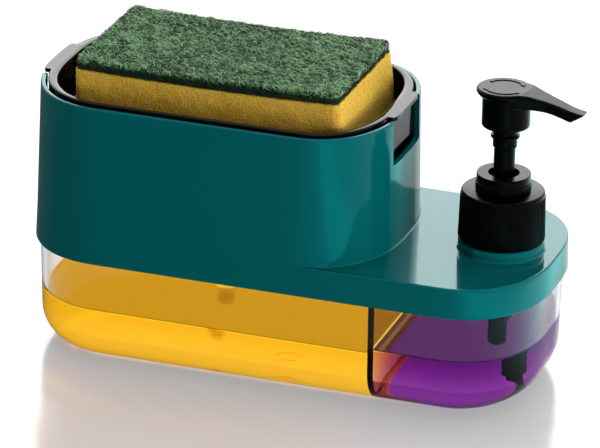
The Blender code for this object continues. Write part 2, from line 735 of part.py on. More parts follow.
def make_ball(name, axis):
    """Check ball, just above the cone that it closes."""
    bm = bmesh.new()
    bmesh.ops.create_uvsphere(bm, u_segments=BALL_SEGMENTS, v_segments=BALL_RINGS, radius=BALL_RADIUS)
    ball = new_object(name, finish_mesh(name, bm), make_material(name, (0.80, 0.80, 0.82), 0.1, 1.0), axis)
    ball.location.z = HOUSING_FOOT + math.sqrt(2) * (BALL_RADIUS + GAP) - BALL_SEAT_RADIUS


def make_dip_tube(name, material, axis):
    low = TANK_WALL + TUBE_FLOOR_GAP
    high = NOZZLE_FOOT + TUBE_GRIP - GAP
    inner = TUBE_RADIUS - TUBE_WALL
    profile = [(inner, high), (TUBE_RADIUS, high), (TUBE_RADIUS, low), (inner, low)]
    new_object(name, lathe_mesh(name, profile, PUMP_SEGMENTS), material, axis)


def make_stem(name, levels, top, spigot_top, material, axis):
    """Hollow rod with a spigot at each end."""
    foot = levels['piston_high'] + GAP
    spigot_foot = levels['seat_low'] + PISTON_SEAT_FLOOR + GAP
    profile = [
        (STEM_BORE_RADIUS, spigot_top),
        (STEM_TOP_SPIGOT_RADIUS, spigot_top),
        (STEM_TOP_SPIGOT_RADIUS, top),
        (STEM_RADIUS, top),
        (STEM_RADIUS, foot),
        (STEM_FOOT_SPIGOT_RADIUS, foot),
        (STEM_FOOT_SPIGOT_RADIUS, spigot_foot),
        (STEM_BORE_RADIUS, spigot_foot),
    ]
    new_object(name, lathe_mesh(name, profile, PUMP_SEGMENTS), material, axis)


def make_piston(name, levels, axis):
    material = make_material(name, (0.80, 0.80, 0.78), 0.4)
    high = levels['piston_high']
    low = levels['piston_low']
    inner = STEM_FOOT_SPIGOT_RADIUS + GAP
    lip = HOUSING_BORE_RADIUS - PISTON_RUNNING_GAP
    waist = lip - PISTON_WAIST
    profile = [
        (inner, high),
        (lip, high),
        (lip, high - PISTON_LIP_HEIGHT),
        (waist, high - 2 * PISTON_LIP_HEIGHT),
        (waist, low + 2 * PISTON_LIP_HEIGHT),
        (lip, low + PISTON_LIP_HEIGHT),
        (lip, low),
        (inner, low),
    ]
    new_object(name, lathe_mesh(name, profile, PUMP_SEGMENTS), material, axis)


def make_piston_seat(name, levels, axis):
    """Plug on the stem's foot that carries the spring."""
    material = make_material(name, (0.80, 0.80, 0.78), 0.4)
    inner = STEM_FOOT_SPIGOT_RADIUS + GAP
    profile = [
        (0, levels['seat_low']),
        (PISTON_SEAT_RADIUS, levels['seat_low']),
        (PISTON_SEAT_RADIUS, levels['seat_high']),
        (inner, levels['seat_high']),
        (inner, levels['seat_low'] + PISTON_SEAT_FLOOR),
        (0, levels['seat_low'] + PISTON_SEAT_FLOOR),
    ]
    new_object(name, lathe_mesh(name, profile, PUMP_SEGMENTS, closed=False), material, axis)


def make_spring(name, levels, curls, axis):
    """Coil between the housing's shoulder and the piston seat, as one round wire."""
    low = SPRING_SEAT + GAP + SPRING_WIRE_RADIUS
    high = levels['seat_low'] - GAP - SPRING_WIRE_RADIUS
    count = curls * SPRING_POINTS_PER_CURL
    points = []
    for index in range(count + 1):
        angle = math.tau * index / SPRING_POINTS_PER_CURL
        height = low + (high - low) * index / count
        points.append(Vector((SPRING_RADIUS * math.cos(angle), SPRING_RADIUS * math.sin(angle), height)))
    curve = bpy.data.curves.new(name, 'CURVE')
    curve.dimensions = '3D'
    curve.bevel_depth = SPRING_WIRE_RADIUS
    curve.bevel_resolution = 1
    curve.use_fill_caps = True
    spline = curve.splines.new('POLY')
    spline.points.add(count)
    for spline_point, point in zip(spline.points, points):
        spline_point.co = (*point, 1)
    new_object(name, curve, make_material(name, (0.75, 0.75, 0.77), 0.25, 1.0), axis)
    gaps = [
        (second - first).length - 2 * SPRING_WIRE_RADIUS
        for first, second in zip(points, points[SPRING_POINTS_PER_CURL:])
    ]
    print(f'{name}: least gap between curls {min(gaps) * 1000:.2f} mm')


def make_pump_core(prefix, levels, curls, stem_top, spigot_top, body_material, axis):
    """What both pumps hold: housing, seal, guide, valve ball, tube, stem, piston and spring."""
    make_housing(prefix + '_housing', levels, body_material, axis)
    make_seal_ring(prefix + '_gasket', levels, axis)
    make_guide(prefix + '_guide', levels, body_material, axis)
    make_ball(prefix + '_ball', axis)
    make_dip_tube(prefix + '_dip_tube', body_material, axis)
    make_stem(prefix + '_stem', levels, stem_top, spigot_top, body_material, axis)
    make_piston(prefix + '_piston', levels, axis)
    make_piston_seat(prefix + '_piston_seat', levels, axis)
    make_spring(prefix + '_spring', levels, curls, axis)


def make_press_pump(axis):
    natural = make_material('press_pump_natural', (0.85, 0.86, 0.84), 0.3)
    levels = pump_levels(PRESS_NECK_TOP, PRESS_GUIDE_HEIGHT)
    spigot_top = TRAY_UNDERSIDE
    make_pump_core('press', levels, PRESS_SPRING_CURLS, TRAY_SOCKET_FOOT - GAP, spigot_top, natural, axis)
    inner = FLANGE_RADIUS + 2 * GAP
    bead = inner + GAP + RETAINER_BEAD
    outer = bead + CLOSURE_WALL
    foot = PRESS_NECK_TOP - RETAINER_SKIRT_HEIGHT
    bead_middle = PRESS_NECK_TOP - RETAINER_BEAD_DROP
    profile = [
        (HOUSING_HEAD_RADIUS + GAP, levels['plate_high']),
        (outer, levels['plate_high']),
        (outer, foot),
        (NECK_RADIUS + GAP, foot),
        (NECK_RADIUS + GAP, bead_middle - RETAINER_BEAD_HEIGHT / 2),
        (bead, bead_middle),
        (bead, levels['plate_low']),
        (HOUSING_HEAD_RADIUS + GAP, levels['plate_low']),
    ]
    new_object('press_retainer', lathe_mesh('press_retainer', profile, HEAD_SEGMENTS),
               make_material('retainer_white', (0.85, 0.86, 0.84), 0.35), axis)


def make_collar(levels, material, axis):
    """Screw cap over the neck, with the thread on its inner wall."""
    wall = NECK_RADIUS + THREAD_HEIGHT + THREAD_CREST_GAP
    profile = [
        (HOUSING_HEAD_RADIUS + GAP, levels['plate_high']),
        (COLLAR_TOP_RADIUS - COLLAR_EDGE, levels['plate_high']),
        (COLLAR_TOP_RADIUS, levels['plate_high'] - COLLAR_EDGE),
        (COLLAR_FOOT_RADIUS, COLLAR_FOOT),
        (wall, COLLAR_FOOT),
        (wall, levels['plate_low']),
        (HOUSING_HEAD_RADIUS + GAP, levels['plate_low']),
    ]
    collar = new_object('pump_collar', lathe_mesh('pump_collar', profile, COLLAR_SEGMENTS), material, axis)
    root = wall + THREAD_SINK
    crest = NECK_RADIUS + THREAD_CREST_GAP
    join(collar, helix_ridge_mesh('collar_thread', root, crest, thread_foot() - THREAD_PITCH / 2), axis)


def spout_section(top, bottom, half_width, sides):
    """Rounded section whose plane holds the points top and bottom of the XZ plane."""
    middle = (top + bottom) / 2
    half_height = (top - bottom) / 2
    ring = []
    for index in range(sides):
        angle = math.tau * index / sides
        power = 2 / SPOUT_SECTION_POWER
        across = math.copysign(abs(math.cos(angle)) ** power, math.cos(angle))
        up = math.copysign(abs(math.sin(angle)) ** power, math.sin(angle))
        ring.append(middle + half_height * up + Vector((0, half_width * across, 0)))
    return ring


def spout_point(reach_share, drop_share):
    return Vector((SPOUT_REACH * reach_share, 0, HEAD_HEIGHT - SPOUT_DROP * drop_share))


def spout_mesh():
    rings = []
    for top_x, top_z, bottom_x, bottom_z, width in SPOUT_STATION_SHARES:
        top = spout_point(top_x, top_z)
        bottom = spout_point(bottom_x, bottom_z)
        rings.append(spout_section(top, bottom, SPOUT_WIDTH * width / 2, SPOUT_SIDES))
    return loft_mesh('spout', rings)


def spout_bore_mesh():
    """Round bore from the stem's socket to past the mouth."""
    path = [spout_point(reach, drop) for reach, drop in SPOUT_BORE_SHARES]
    rings = []
    for index, point in enumerate(path):
        ahead = path[min(index + 1, len(path) - 1)]
        behind = path[max(index - 1, 0)]
        along = (ahead - behind).normalized()
        across = Vector((-along.z, 0, along.x)) * SPOUT_BORE_RADIUS
        rings.append([
            point + across * math.cos(math.tau * side / SPOUT_BORE_SIDES)
            + Vector((0, SPOUT_BORE_RADIUS * math.sin(math.tau * side / SPOUT_BORE_SIDES), 0))
            for side in range(SPOUT_BORE_SIDES)
        ])
    return loft_mesh('spout_bore', rings)


def make_head(material, axis):
    """Head that is pressed: skirt, stem socket with its lock lug, spout, and plate set back from it."""
    plate_low = HEAD_HEIGHT - HEAD_PLATE_THICKNESS
    plate_foot = plate_low - HEAD_PLATE_TAPER
    roof = HEAD_HEIGHT - HEAD_ROOF
    lug_low = HEAD_SOCKET_FOOT + LOCK_LUG_RISE
    lug_high = lug_low + LOCK_LUG_HEIGHT
    inner = HEAD_SKIRT_RADIUS - HEAD_SKIRT_WALL
    socket_roof = HEAD_SOCKET_FOOT + HEAD_SOCKET_DEPTH
    profile = [
        (0, plate_low),
        (HEAD_SKIRT_RADIUS, plate_low),
        (HEAD_SKIRT_RADIUS, HEAD_SKIRT_FOOT),
        (inner, HEAD_SKIRT_FOOT),
        (inner, roof),
        (SOCKET_RADIUS, roof),
        (SOCKET_RADIUS, lug_high + LOCK_LUG_EDGE),
        (LOCK_LUG_RADIUS, lug_high),
        (LOCK_LUG_RADIUS, lug_low),
        (SOCKET_RADIUS, lug_low - LOCK_LUG_EDGE),
        (SOCKET_RADIUS, HEAD_SOCKET_FOOT),
        (SOCKET_BORE_RADIUS, HEAD_SOCKET_FOOT),
        (SOCKET_BORE_RADIUS, socket_roof),
        (0, socket_roof),
    ]
    body = lathe_mesh('pump_head', profile, HEAD_SEGMENTS, closed=False)
    head = new_object('pump_head', body, material, axis)
    plate_profile = [
        (0, HEAD_HEIGHT),
        (HEAD_PLATE_RADIUS - HEAD_PLATE_EDGE, HEAD_HEIGHT),
        (HEAD_PLATE_RADIUS, HEAD_HEIGHT - HEAD_PLATE_EDGE),
        (HEAD_PLATE_RADIUS, plate_low),
        (HEAD_PLATE_RADIUS - HEAD_PLATE_UNDERCUT, plate_foot),
        (0, plate_foot),
    ]
    plate = lathe_mesh('head_plate', plate_profile, HEAD_SEGMENTS, closed=False)
    plate.transform(Matrix.Translation((-HEAD_PLATE_SETBACK, 0, 0)))
    join(head, plate, axis)
    join(head, spout_mesh(), axis)
    riser_top = spout_point(*SPOUT_BORE_SHARES[0]).z + SPOUT_BORE_RADIUS
    riser = cylinder_mesh('head_riser', SPOUT_BORE_RADIUS, socket_roof - GAP, riser_top, SPOUT_BORE_SIDES)
    cut(head, riser, axis)
    cut(head, spout_bore_mesh(), axis)


def make_hand_pump(axis):
    black = make_material('pump_black', BLACK, 0.35)
    levels = pump_levels(HAND_NECK_TOP, HAND_GUIDE_HEIGHT)
    stem_top = HEAD_SOCKET_FOOT - GAP
    spigot_top = HEAD_SOCKET_FOOT + HEAD_SOCKET_DEPTH - GAP
    make_pump_core('pump', levels, HAND_SPRING_CURLS, stem_top, spigot_top, black, axis)
    make_collar(levels, black, axis)
    make_head(black, axis)


def tray_loop(end_shift, side_inset):
    return well_loop(TRAY_RIM_INSET + side_inset, end_shift - side_inset)


def make_tray(press_axis):
    """Black tub with a flat rim, wider at the ends, and a tab for each slot.

    Under each tab hangs a flat tongue, close behind the slot.
    """
    black = make_material('tray_black', BLACK, 0.12)
    cavity_end = TRAY_RIM_END_WIDTH
    cavity_side = TRAY_RIM_SIDE_WIDTH
    wall = TRAY_TUB_WALL
    draft = TRAY_TUB_DRAFT
    rim_low = TRAY_RIM_TOP - TRAY_RIM_THICKNESS
    rings = [
        at_height(tray_loop(cavity_end + draft, cavity_side + draft), TRAY_FLOOR_TOP),
        at_height(tray_loop(cavity_end, cavity_side), TRAY_RIM_TOP),
        at_height(tray_loop(0, 0), TRAY_RIM_TOP),
        at_height(tray_loop(0, 0), rim_low),
        at_height(tray_loop(cavity_end - wall, cavity_side - wall), rim_low),
        at_height(tray_loop(cavity_end - wall + draft, cavity_side - wall + draft), TRAY_UNDERSIDE),
    ]
    tray = new_object('sponge_tray', loft_mesh('sponge_tray', rings), black)
    rim_left = LID_LEFT + TRAY_RIM_INSET
    rim_right = WELL_RIGHT - TRAY_RIM_INSET
    tabs = (
        ('left_tab', LID_LEFT + WELL_TOP_INSET + TAB_SETBACK, rim_left + TRAY_RIM_END_WIDTH / 2),
        ('right_tab', rim_right - TRAY_RIM_END_WIDTH / 2, WELL_RIGHT - WELL_TOP_INSET - TAB_SETBACK),
    )
    for name, low_x, high_x in tabs:
        join(tray, box_mesh(name, (low_x, -TAB_WIDTH / 2, rim_low), (high_x, TAB_WIDTH / 2, TRAY_RIM_TOP)))
    tongue_inset = WELL_TOP_INSET + WELL_WALL + TONGUE_GAP
    tongues = (
        ('left_tongue', LID_LEFT + tongue_inset, LID_LEFT + tongue_inset + TONGUE_THICKNESS),
        ('right_tongue', WELL_RIGHT - tongue_inset - TONGUE_THICKNESS, WELL_RIGHT - tongue_inset),
    )
    for name, low_x, high_x in tongues:
        low = (low_x, -TONGUE_WIDTH / 2, rim_low - TONGUE_LENGTH)
        high = (high_x, TONGUE_WIDTH / 2, rim_low + TRAY_RIM_THICKNESS / 2)
        join(tray, box_mesh(name, low, high))
    socket_top = TRAY_UNDERSIDE + TRAY_FLOOR / 2
    join(tray, cylinder_mesh('tray_socket', SOCKET_RADIUS, TRAY_SOCKET_FOOT, socket_top, PUMP_SEGMENTS),
         press_axis)
    recess_low = TRAY_FLOOR_TOP - OUTLET_THICKNESS - GAP
    recess = cylinder_mesh('outlet_recess', OUTLET_RADIUS + GAP, recess_low, TRAY_FLOOR_TOP + OVERRUN,
                           OUTLET_SEGMENTS)
    cut(tray, recess, press_axis)
    bore = cylinder_mesh('tray_socket_bore', SOCKET_BORE_RADIUS, TRAY_SOCKET_FOOT - OVERRUN,
                         TRAY_FLOOR_TOP + OVERRUN, PUMP_SEGMENTS)
    cut(tray, bore, press_axis)


def make_outlet(press_axis):
    """Perforated disc let into the tray's floor, where the soap wells up."""
    low = TRAY_FLOOR_TOP - OUTLET_THICKNESS
    disc = cylinder_mesh('tray_outlet', OUTLET_RADIUS, low, TRAY_FLOOR_TOP, OUTLET_SEGMENTS)
    outlet = new_object('tray_outlet', disc, make_material('outlet_black', BLACK, 0.25), press_axis)
    holes = []
    for centre in circle(OUTLET_HOLE_CIRCLE, OUTLET_HOLES):
        outline = circle(OUTLET_HOLE_RADIUS, HOLE_SEGMENTS, centre)
        holes.append([at_height(outline, low - OVERRUN), at_height(outline, TRAY_FLOOR_TOP + OVERRUN)])
    cut(outlet, loft_mesh('outlet_holes', *holes), press_axis)


def sponge_loop():
    """Rounded rectangle of the sponge, seen from above."""
    radius = SPONGE_CORNER_RADIUS
    centre_x = (SPONGE_LEFT + SPONGE_RIGHT) / 2
    points = []
    for quarter, (side_x, side_y) in enumerate(((1, 1), (-1, 1), (-1, -1), (1, -1))):
        corner_x = centre_x + side_x * (SPONGE_LENGTH / 2 - radius)
        corner_y = side_y * (SPONGE_WIDTH / 2 - radius)
        for step in range(SPONGE_CORNER_STEPS + 1):
            angle = math.radians(90 * (quarter + step / SPONGE_CORNER_STEPS))
            points.append((corner_x + radius * math.cos(angle), corner_y + radius * math.sin(angle)))
    return points


def make_sponge():
    foam_low = TRAY_FLOOR_TOP + GAP
    foam_high = foam_low + FOAM_HEIGHT
    pad_low = foam_high + GAP
    yellow = make_material('foam_yellow', (0.62, 0.40, 0.08), 0.95)
    green = make_material('pad_green', (0.04, 0.13, 0.07), 1.0)
    outline = sponge_loop()
    foam = [at_height(outline, foam_low), at_height(outline, foam_high)]
    new_object('sponge_foam', loft_mesh('sponge_foam', foam), yellow)
    pad = [at_height(outline, pad_low), at_height(outline, pad_low + PAD_HEIGHT)]
    new_object('scouring_pad', loft_mesh('scouring_pad', pad), green)


hand_pump_axis = make_empty('hand_pump_axis', HAND_PUMP_X)
press_pump_axis = make_empty('press_pump_axis', PRESS_PUMP_X)
make_tank()
make_partition()
make_soap('amber_soap', AMBER_LEVEL, True, (0.85, 0.45, 0.01), PRESS_PUMP_X)
make_soap('violet_soap', VIOLET_LEVEL, False, (0.28, 0.05, 0.45), HAND_PUMP_X)
make_lid(hand_pump_axis, press_pump_axis)
make_lid_gasket()
make_press_pump(press_pump_axis)
make_tray(press_pump_axis)
make_outlet(press_pump_axis)
make_sponge()
make_hand_pump(hand_pump_axis)
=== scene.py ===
import math

import bmesh
import bpy
from mathutils import Matrix, Vector, noise


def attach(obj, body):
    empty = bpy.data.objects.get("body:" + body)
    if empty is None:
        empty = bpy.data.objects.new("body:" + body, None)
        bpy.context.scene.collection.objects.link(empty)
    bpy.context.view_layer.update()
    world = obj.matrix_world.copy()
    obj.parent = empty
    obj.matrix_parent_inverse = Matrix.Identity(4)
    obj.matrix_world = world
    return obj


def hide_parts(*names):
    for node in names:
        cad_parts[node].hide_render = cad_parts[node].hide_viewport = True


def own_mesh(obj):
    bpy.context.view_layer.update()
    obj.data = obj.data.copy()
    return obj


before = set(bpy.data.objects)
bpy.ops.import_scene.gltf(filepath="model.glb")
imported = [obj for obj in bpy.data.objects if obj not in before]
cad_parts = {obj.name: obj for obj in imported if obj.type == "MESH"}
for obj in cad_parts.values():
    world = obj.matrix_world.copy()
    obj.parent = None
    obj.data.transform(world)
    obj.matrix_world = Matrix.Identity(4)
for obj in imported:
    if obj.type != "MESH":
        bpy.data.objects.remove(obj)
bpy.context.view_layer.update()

# Clear tank: injection-moulded clear plastic tub with a rounded bottom edge. It stands on its flat
# floor, and the lid's skirt slips over its rim. A round gate mark is left in the middle of the floor.

LID_LEFT, LID_RIGHT = -0.1023, 0.1023
HALF_WIDTH = 0.0470
CORNER_WIDTH = 0.0420
CORNER_POWER = 2.2
LEFT_REACH, RIGHT_REACH = 0.0360, 0.0337
WELL_RIGHT, WELL_REACH = 0.04309, 0.03285
JOIN_X = WELL_RIGHT - WELL_REACH
END_YS = (-0.0173, -0.0147, -0.0120, -0.0080, -0.0040, 0, 0.0040, 0.0080, 0.0120, 0.0147, 0.0173)


def corner_run(centre, reach, corner_y, width, side_x, side_y, steps):
    """Superelliptic corner from the long side to the first of the end's points."""
    last = math.asin(((END_YS[-1] - corner_y) / width) ** (CORNER_POWER / 2))
    points = []
    for step in range(steps):
        angle = math.pi / 2 + (last - math.pi / 2) * step / steps
        x = centre + side_x * reach * max(math.cos(angle), 0) ** (2 / CORNER_POWER)
        y = side_y * (corner_y + width * math.sin(angle) ** (2 / CORNER_POWER))
        points.append((x, y))
    return points


def end_run(centre, reach, corner_y, width, side):
    """Points of a rounded end, one for each of END_YS."""
    points = []
    for y in END_YS:
        share = max(abs(y) - corner_y, 0) / width
        points.append((centre + side * reach * (1 - share ** CORNER_POWER) ** (1 / CORNER_POWER), y))
    return points


def plan(inset, well=False, left_shift=0.0, right_shift=0.0):
    """Plan outline of the lid or, with well, of the sponge well: equal counts, shared left of JOIN_X."""
    right, right_reach, straight = (WELL_RIGHT, WELL_REACH, 0) if well else (LID_RIGHT, RIGHT_REACH, 8)
    half = HALF_WIDTH - inset
    width = CORNER_WIDTH - inset
    corner_y = half - width
    right_reach -= inset + right_shift
    left_reach = LEFT_REACH - inset - left_shift
    right_centre = right - inset - right_shift - right_reach
    left_centre = LID_LEFT + inset + left_shift + left_reach
    front = [(JOIN_X + (right_centre - JOIN_X) * step / straight, -half) for step in range(straight)]
    front += corner_run(right_centre, right_reach, corner_y, width, 1, -1, 28 - straight)
    far = [(JOIN_X + (left_centre - JOIN_X) * step / 4, half) for step in range(1, 4)]
    far += corner_run(left_centre, left_reach, corner_y, width, -1, 1, 20)
    back, near = [[(x, -y) for x, y in reversed(side)] for side in (front, far)]
    right_end = end_run(right_centre, right_reach, corner_y, width, 1)
    left_end = end_run(left_centre, left_reach, corner_y, width, -1)
    return front + right_end + back + far + left_end[::-1] + near


def at(points, z):
    """Ring of an outline's points at height z."""
    return [Vector((x, y, z)) for x, y in points]


def loft(name, rings, capped=True, closed=False):
    """Mesh through rings of points with equal counts; closed joins the last ring to the first."""
    bm = bmesh.new()
    loops = [[bm.verts.new(point) for point in ring] for ring in rings]
    if closed:
        loops.append(loops[0])
    for first, second in zip(loops, loops[1:]):
        for index in range(len(first)):
            after = (index + 1) % len(first)
            bm.faces.new((first[index], first[after], second[after], second[index]))
    if capped:
        bm.faces.new(loops[0])
        bm.faces.new(loops[-1])
    bmesh.ops.remove_doubles(bm, verts=bm.verts, dist=1e-6)
    return to_object(name, bm)


def to_object(name, bm):
    bmesh.ops.recalc_face_normals(bm, faces=bm.faces)
    mesh = bpy.data.meshes.new(name)
    bm.to_mesh(mesh)
    bm.free()
    piece = bpy.data.objects.new(name, mesh)
    bpy.context.scene.collection.objects.link(piece)
    return piece


def turned(name, profile, x, segments=64):
    """Piece turned about an upright axis at x, through (radius, height) points."""
    angles = [math.tau * index / segments for index in range(segments)]
    rings = [[(x + radius * math.cos(angle), radius * math.sin(angle), height) for angle in angles]
             for radius, height in profile]
    return loft(name, rings, capped=False, closed=profile[0][0] > 0)


def cut(piece, *cutters, operation='DIFFERENCE'):
    """Cuts the cutters out of the piece, or joins them to it, and takes them away."""
    for cutter in cutters:
        modifier = piece.modifiers.new('cut', 'BOOLEAN')
        modifier.operation = operation
        modifier.solver = 'EXACT'
        modifier.object = cutter
    settle(piece)
    for cutter in cutters:
        bpy.data.objects.remove(cutter)


def settle(piece):
    """Makes the result of the piece's modifiers its own mesh."""
    view = bpy.context.evaluated_depsgraph_get()
    mesh = bpy.data.meshes.new_from_object(piece.evaluated_get(view), depsgraph=view)
    piece.modifiers.clear()
    piece.data = mesh


def soften(piece, width, angle=40, segments=2):
    """Small moulded radius on the sharp edges, and smooth shading."""
    bevel = piece.modifiers.new('radius', 'BEVEL')
    bevel.width = width
    bevel.segments = segments
    bevel.limit_method = 'ANGLE'
    bevel.angle_limit = math.radians(angle)
    bevel.harden_normals = True
    piece.data.shade_smooth()
    settle(piece)


def finish_piece(piece, material, body, slot, *nodes):
    """Gives the piece its material and body, in place of the CAD nodes named; the slot is not used."""
    piece.data.materials.clear()
    piece.data.materials.append(material)
    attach(piece, body)
    if nodes:
        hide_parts(*nodes)


def feed(node, inputs):
    """Sets each input to a value, or links it to another node's output, the first where none is named."""
    for key, value in inputs.items():
        socket = node.inputs[key]
        if isinstance(value, bpy.types.Node):
            value = value.outputs[0]
        if isinstance(value, bpy.types.NodeSocket):
            node.id_data.links.new(value, socket)
        elif socket.type == 'RGBA':
            socket.default_value = (*value, 1)
        else:
            socket.default_value = value


def add(tree, kind, inputs=None, **settings):
    """New node in a tree, with its settings by name and its inputs fed."""
    node = tree.nodes.new(kind)
    for label, value in settings.items():
        setattr(node, label, value)
    feed(node, inputs or {})
    return node


def new_material(name, colour, roughness, **inputs):
    """Material of one shader, whose other inputs go by name; returns it with its tree and shader."""
    material = bpy.data.materials.new(name)
    material.use_nodes = True
    shader = material.node_tree.nodes['Principled BSDF']
    named = {label.replace('_', ' '): value for label, value in inputs.items()}
    feed(shader, {'Base Color': colour, 'Roughness': roughness, **named})
    return material, material.node_tree, shader


def maths(tree, operation, *values, **settings):
    return add(tree, 'ShaderNodeMath', dict(enumerate(values)), operation=operation, **settings)


def mix(tree, share, first, second, kind='RGBA', **settings):
    """Blend of two colours, or with kind FLOAT of two numbers."""
    low, high, result = (6, 7, 2) if kind == 'RGBA' else (2, 3, 0)
    node = add(tree, 'ShaderNodeMix', {0: share, low: first, high: second}, data_type=kind, **settings)
    return node.outputs[result]


def mix_shaders(tree, share, first, second):
    return add(tree, 'ShaderNodeMixShader', {0: share, 1: first, 2: second})


def spread(tree, value, from_low, from_high, to_low=0.0, to_high=1.0, curve='LINEAR'):
    """Value carried from one range to another, and held at its ends."""
    return add(tree, 'ShaderNodeMapRange', {
        'Value': value, 'From Min': from_low, 'From Max': from_high, 'To Min': to_low, 'To Max': to_high,
    }, interpolation_type=curve)


def own_place(tree):
    """Place on the piece, in its own coordinates."""
    return add(tree, 'ShaderNodeTexCoord').outputs['Object']


def own_axes(tree):
    """X, Y and Z of the place on the piece."""
    return add(tree, 'ShaderNodeSeparateXYZ', {0: own_place(tree)}).outputs


def speckle(tree, place, scale, detail, roughness=0.5, distortion=0.0):
    return add(tree, 'ShaderNodeTexNoise', {
        'Vector': place, 'Scale': scale, 'Detail': detail, 'Roughness': roughness, 'Distortion': distortion})


def bumped(tree, height, strength, distance):
    return add(tree, 'ShaderNodeBump', {'Height': height, 'Strength': strength, 'Distance': distance})


def moulded(name, colour, roughness, gloss, grain, depth=0.00002, **inputs):
    """Moulded plastic, faintly uneven: a shallow bump of fine grain, and a roughness that varies."""
    material, tree, shader = new_material(name, colour, roughness, **inputs)
    place = own_place(tree)
    broad = speckle(tree, place, grain / 12, 2.0)
    feed(shader, {'Roughness': spread(tree, broad, 0.3, 0.7, *gloss),
                  'Normal': bumped(tree, speckle(tree, place, grain, 3.0), 0.3, depth)})
    return material, tree, shader


def show(tree, surface):
    feed(tree.nodes['Material Output'], {'Surface': surface})


TANK_TOP = 0.0500
TANK_SHOULDER = 0.0420
TANK_WALL = 0.0020
TANK_RADIUS = 0.0136
SKIRT_FIT = 0.00175
WALL_DRAFT = 0.023
ROUND_STEPS = 12


def tub_inset(z, offset):
    """How far the tub's wall lies inside the lid's outline at height z, offset inwards."""
    inset = SKIRT_FIT + offset + WALL_DRAFT * max(TANK_SHOULDER - z, 0)
    drop = TANK_RADIUS - z
    radius = TANK_RADIUS - offset
    if drop > 0:
        inset += radius - math.sqrt(max(radius ** 2 - drop ** 2, 0))
    return inset


def round_heights(offset):
    """Heights up the tub's rounded bottom edge, from the flat floor."""
    radius = TANK_RADIUS - offset
    angles = [math.pi / 2 * step / ROUND_STEPS for step in range(ROUND_STEPS + 1)]
    return [TANK_RADIUS - radius * math.cos(angle) for angle in angles]


def tub_rings(offset, top):
    """Rings from the flat floor round the bottom edge and up the wall to top."""
    heights = [z for z in round_heights(offset) if z < top - 0.0004]
    if top > TANK_SHOULDER:
        heights.append(TANK_SHOULDER)
    return [at(plan(tub_inset(z, offset)), z) for z in heights + [top]]


PARTITION_X = 0.04249
AMBER_LEVEL = 0.0216
VIOLET_LEVEL = 0.0231
MENISCUS = 0.0006
WETTED_TO = (AMBER_LEVEL + MENISCUS, VIOLET_LEVEL + MENISCUS)
CORE_X = 0.06
CORE_Z = 0.03
GATE_REACH = 0.007


def clamped(value, low, high):
    return min(max(value, low), high)


def mark_wetted(piece, inner):
    """Marks the faces that bend no light: the underside, the gate mark, and where soap touches the faces
    that inner tells to be inside."""
    bm = bmesh.new()
    bm.from_mesh(piece.data)
    for height in WETTED_TO:
        bmesh.ops.bisect_plane(bm, geom=bm.verts[:] + bm.edges[:] + bm.faces[:], plane_co=(0, 0, height),
                               plane_no=(0, 0, 1), dist=1e-7)
    bm.to_mesh(piece.data)
    bm.free()
    marks = piece.data.attributes.new('wetted', 'FLOAT', 'FACE')
    for face in piece.data.polygons:
        spot, facing = face.center, face.normal
        limit = WETTED_TO[spot.x + facing.x * TANK_WALL > PARTITION_X]
        gate = spot.z < TANK_WALL / 4 and math.hypot(spot.x, spot.y) < GATE_REACH
        under = gate or facing.z < -0.95 and spot.z < TANK_WALL / 2
        marks.data[face.index].value = float(under or inner(spot, facing) and spot.z < limit)


def tank_inside(spot, facing):
    """Whether a face of the tub looks at the middle of its room."""
    core = Vector((clamped(spot.x, -CORE_X, CORE_X), 0, CORE_Z))
    return facing.dot(core - spot) > 0 and spot.z > TANK_WALL / 2


tank = loft('tank_clear', tub_rings(0, TANK_TOP) + tub_rings(TANK_WALL, TANK_TOP)[::-1])
gate_mark = turned('gate_mark', [(0.0032, -0.001), (0.0032, 0.0005), (0.0060, 0.0005), (0.0060, -0.001)], 0)
cut(tank, gate_mark)
soften(tank, 0.0003, 50)
mark_wetted(tank, tank_inside)

AMBER_WALL, VIOLET_WALL = (1.0, 0.61, 0.085), (0.53, 0.17, 0.64)
# Painted shade: the second pair of colours is what the soap-wetted wall darkens to where it is seen edge-on.
AMBER_EDGE_SHADE, VIOLET_EDGE_SHADE = (0.38, 0.17, 0.012), (0.42, 0.13, 0.50)


def pass_where(tree, attribute, bent, tint=(1, 1, 1), inverted=False):
    """Lets light pass unbent where the named face attribute is 1, or with inverted where it is 0."""
    mark = add(tree, 'ShaderNodeAttribute', attribute_name=attribute).outputs['Fac']
    straight = add(tree, 'ShaderNodeBsdfTransparent', {'Color': tint})
    show(tree, mix_shaders(tree, mark, *((straight, bent) if inverted else (bent, straight))))


clear, tree, dry = moulded('clear_plastic', (0.95, 0.95, 0.955), 0.02, gloss=(0.004, 0.02), grain=60,
                           Transmission_Weight=1.0, IOR=1.45, Specular_Tint=(0.12, 0.12, 0.12))
# Painted shade: the dry clear wall turns darker and brownish where it is seen edge-on.
edge_on = add(tree, 'ShaderNodeLayerWeight', {'Blend': 0.5}).outputs['Facing']
painted_dry_edge_shade = maths(tree, 'POWER', edge_on, 2.5)
feed(dry, {'Base Color': mix(tree, painted_dry_edge_shade, (0.96, 0.96, 0.965), (0.60, 0.57, 0.55))})
axes = own_axes(tree)
on_violet = maths(tree, 'GREATER_THAN', axes['X'], PARTITION_X)
below = maths(tree, 'LESS_THAN', axes['Z'], mix(tree, on_violet, *WETTED_TO, 'FLOAT'))
wall_tint = mix(tree, on_violet, AMBER_WALL, VIOLET_WALL)
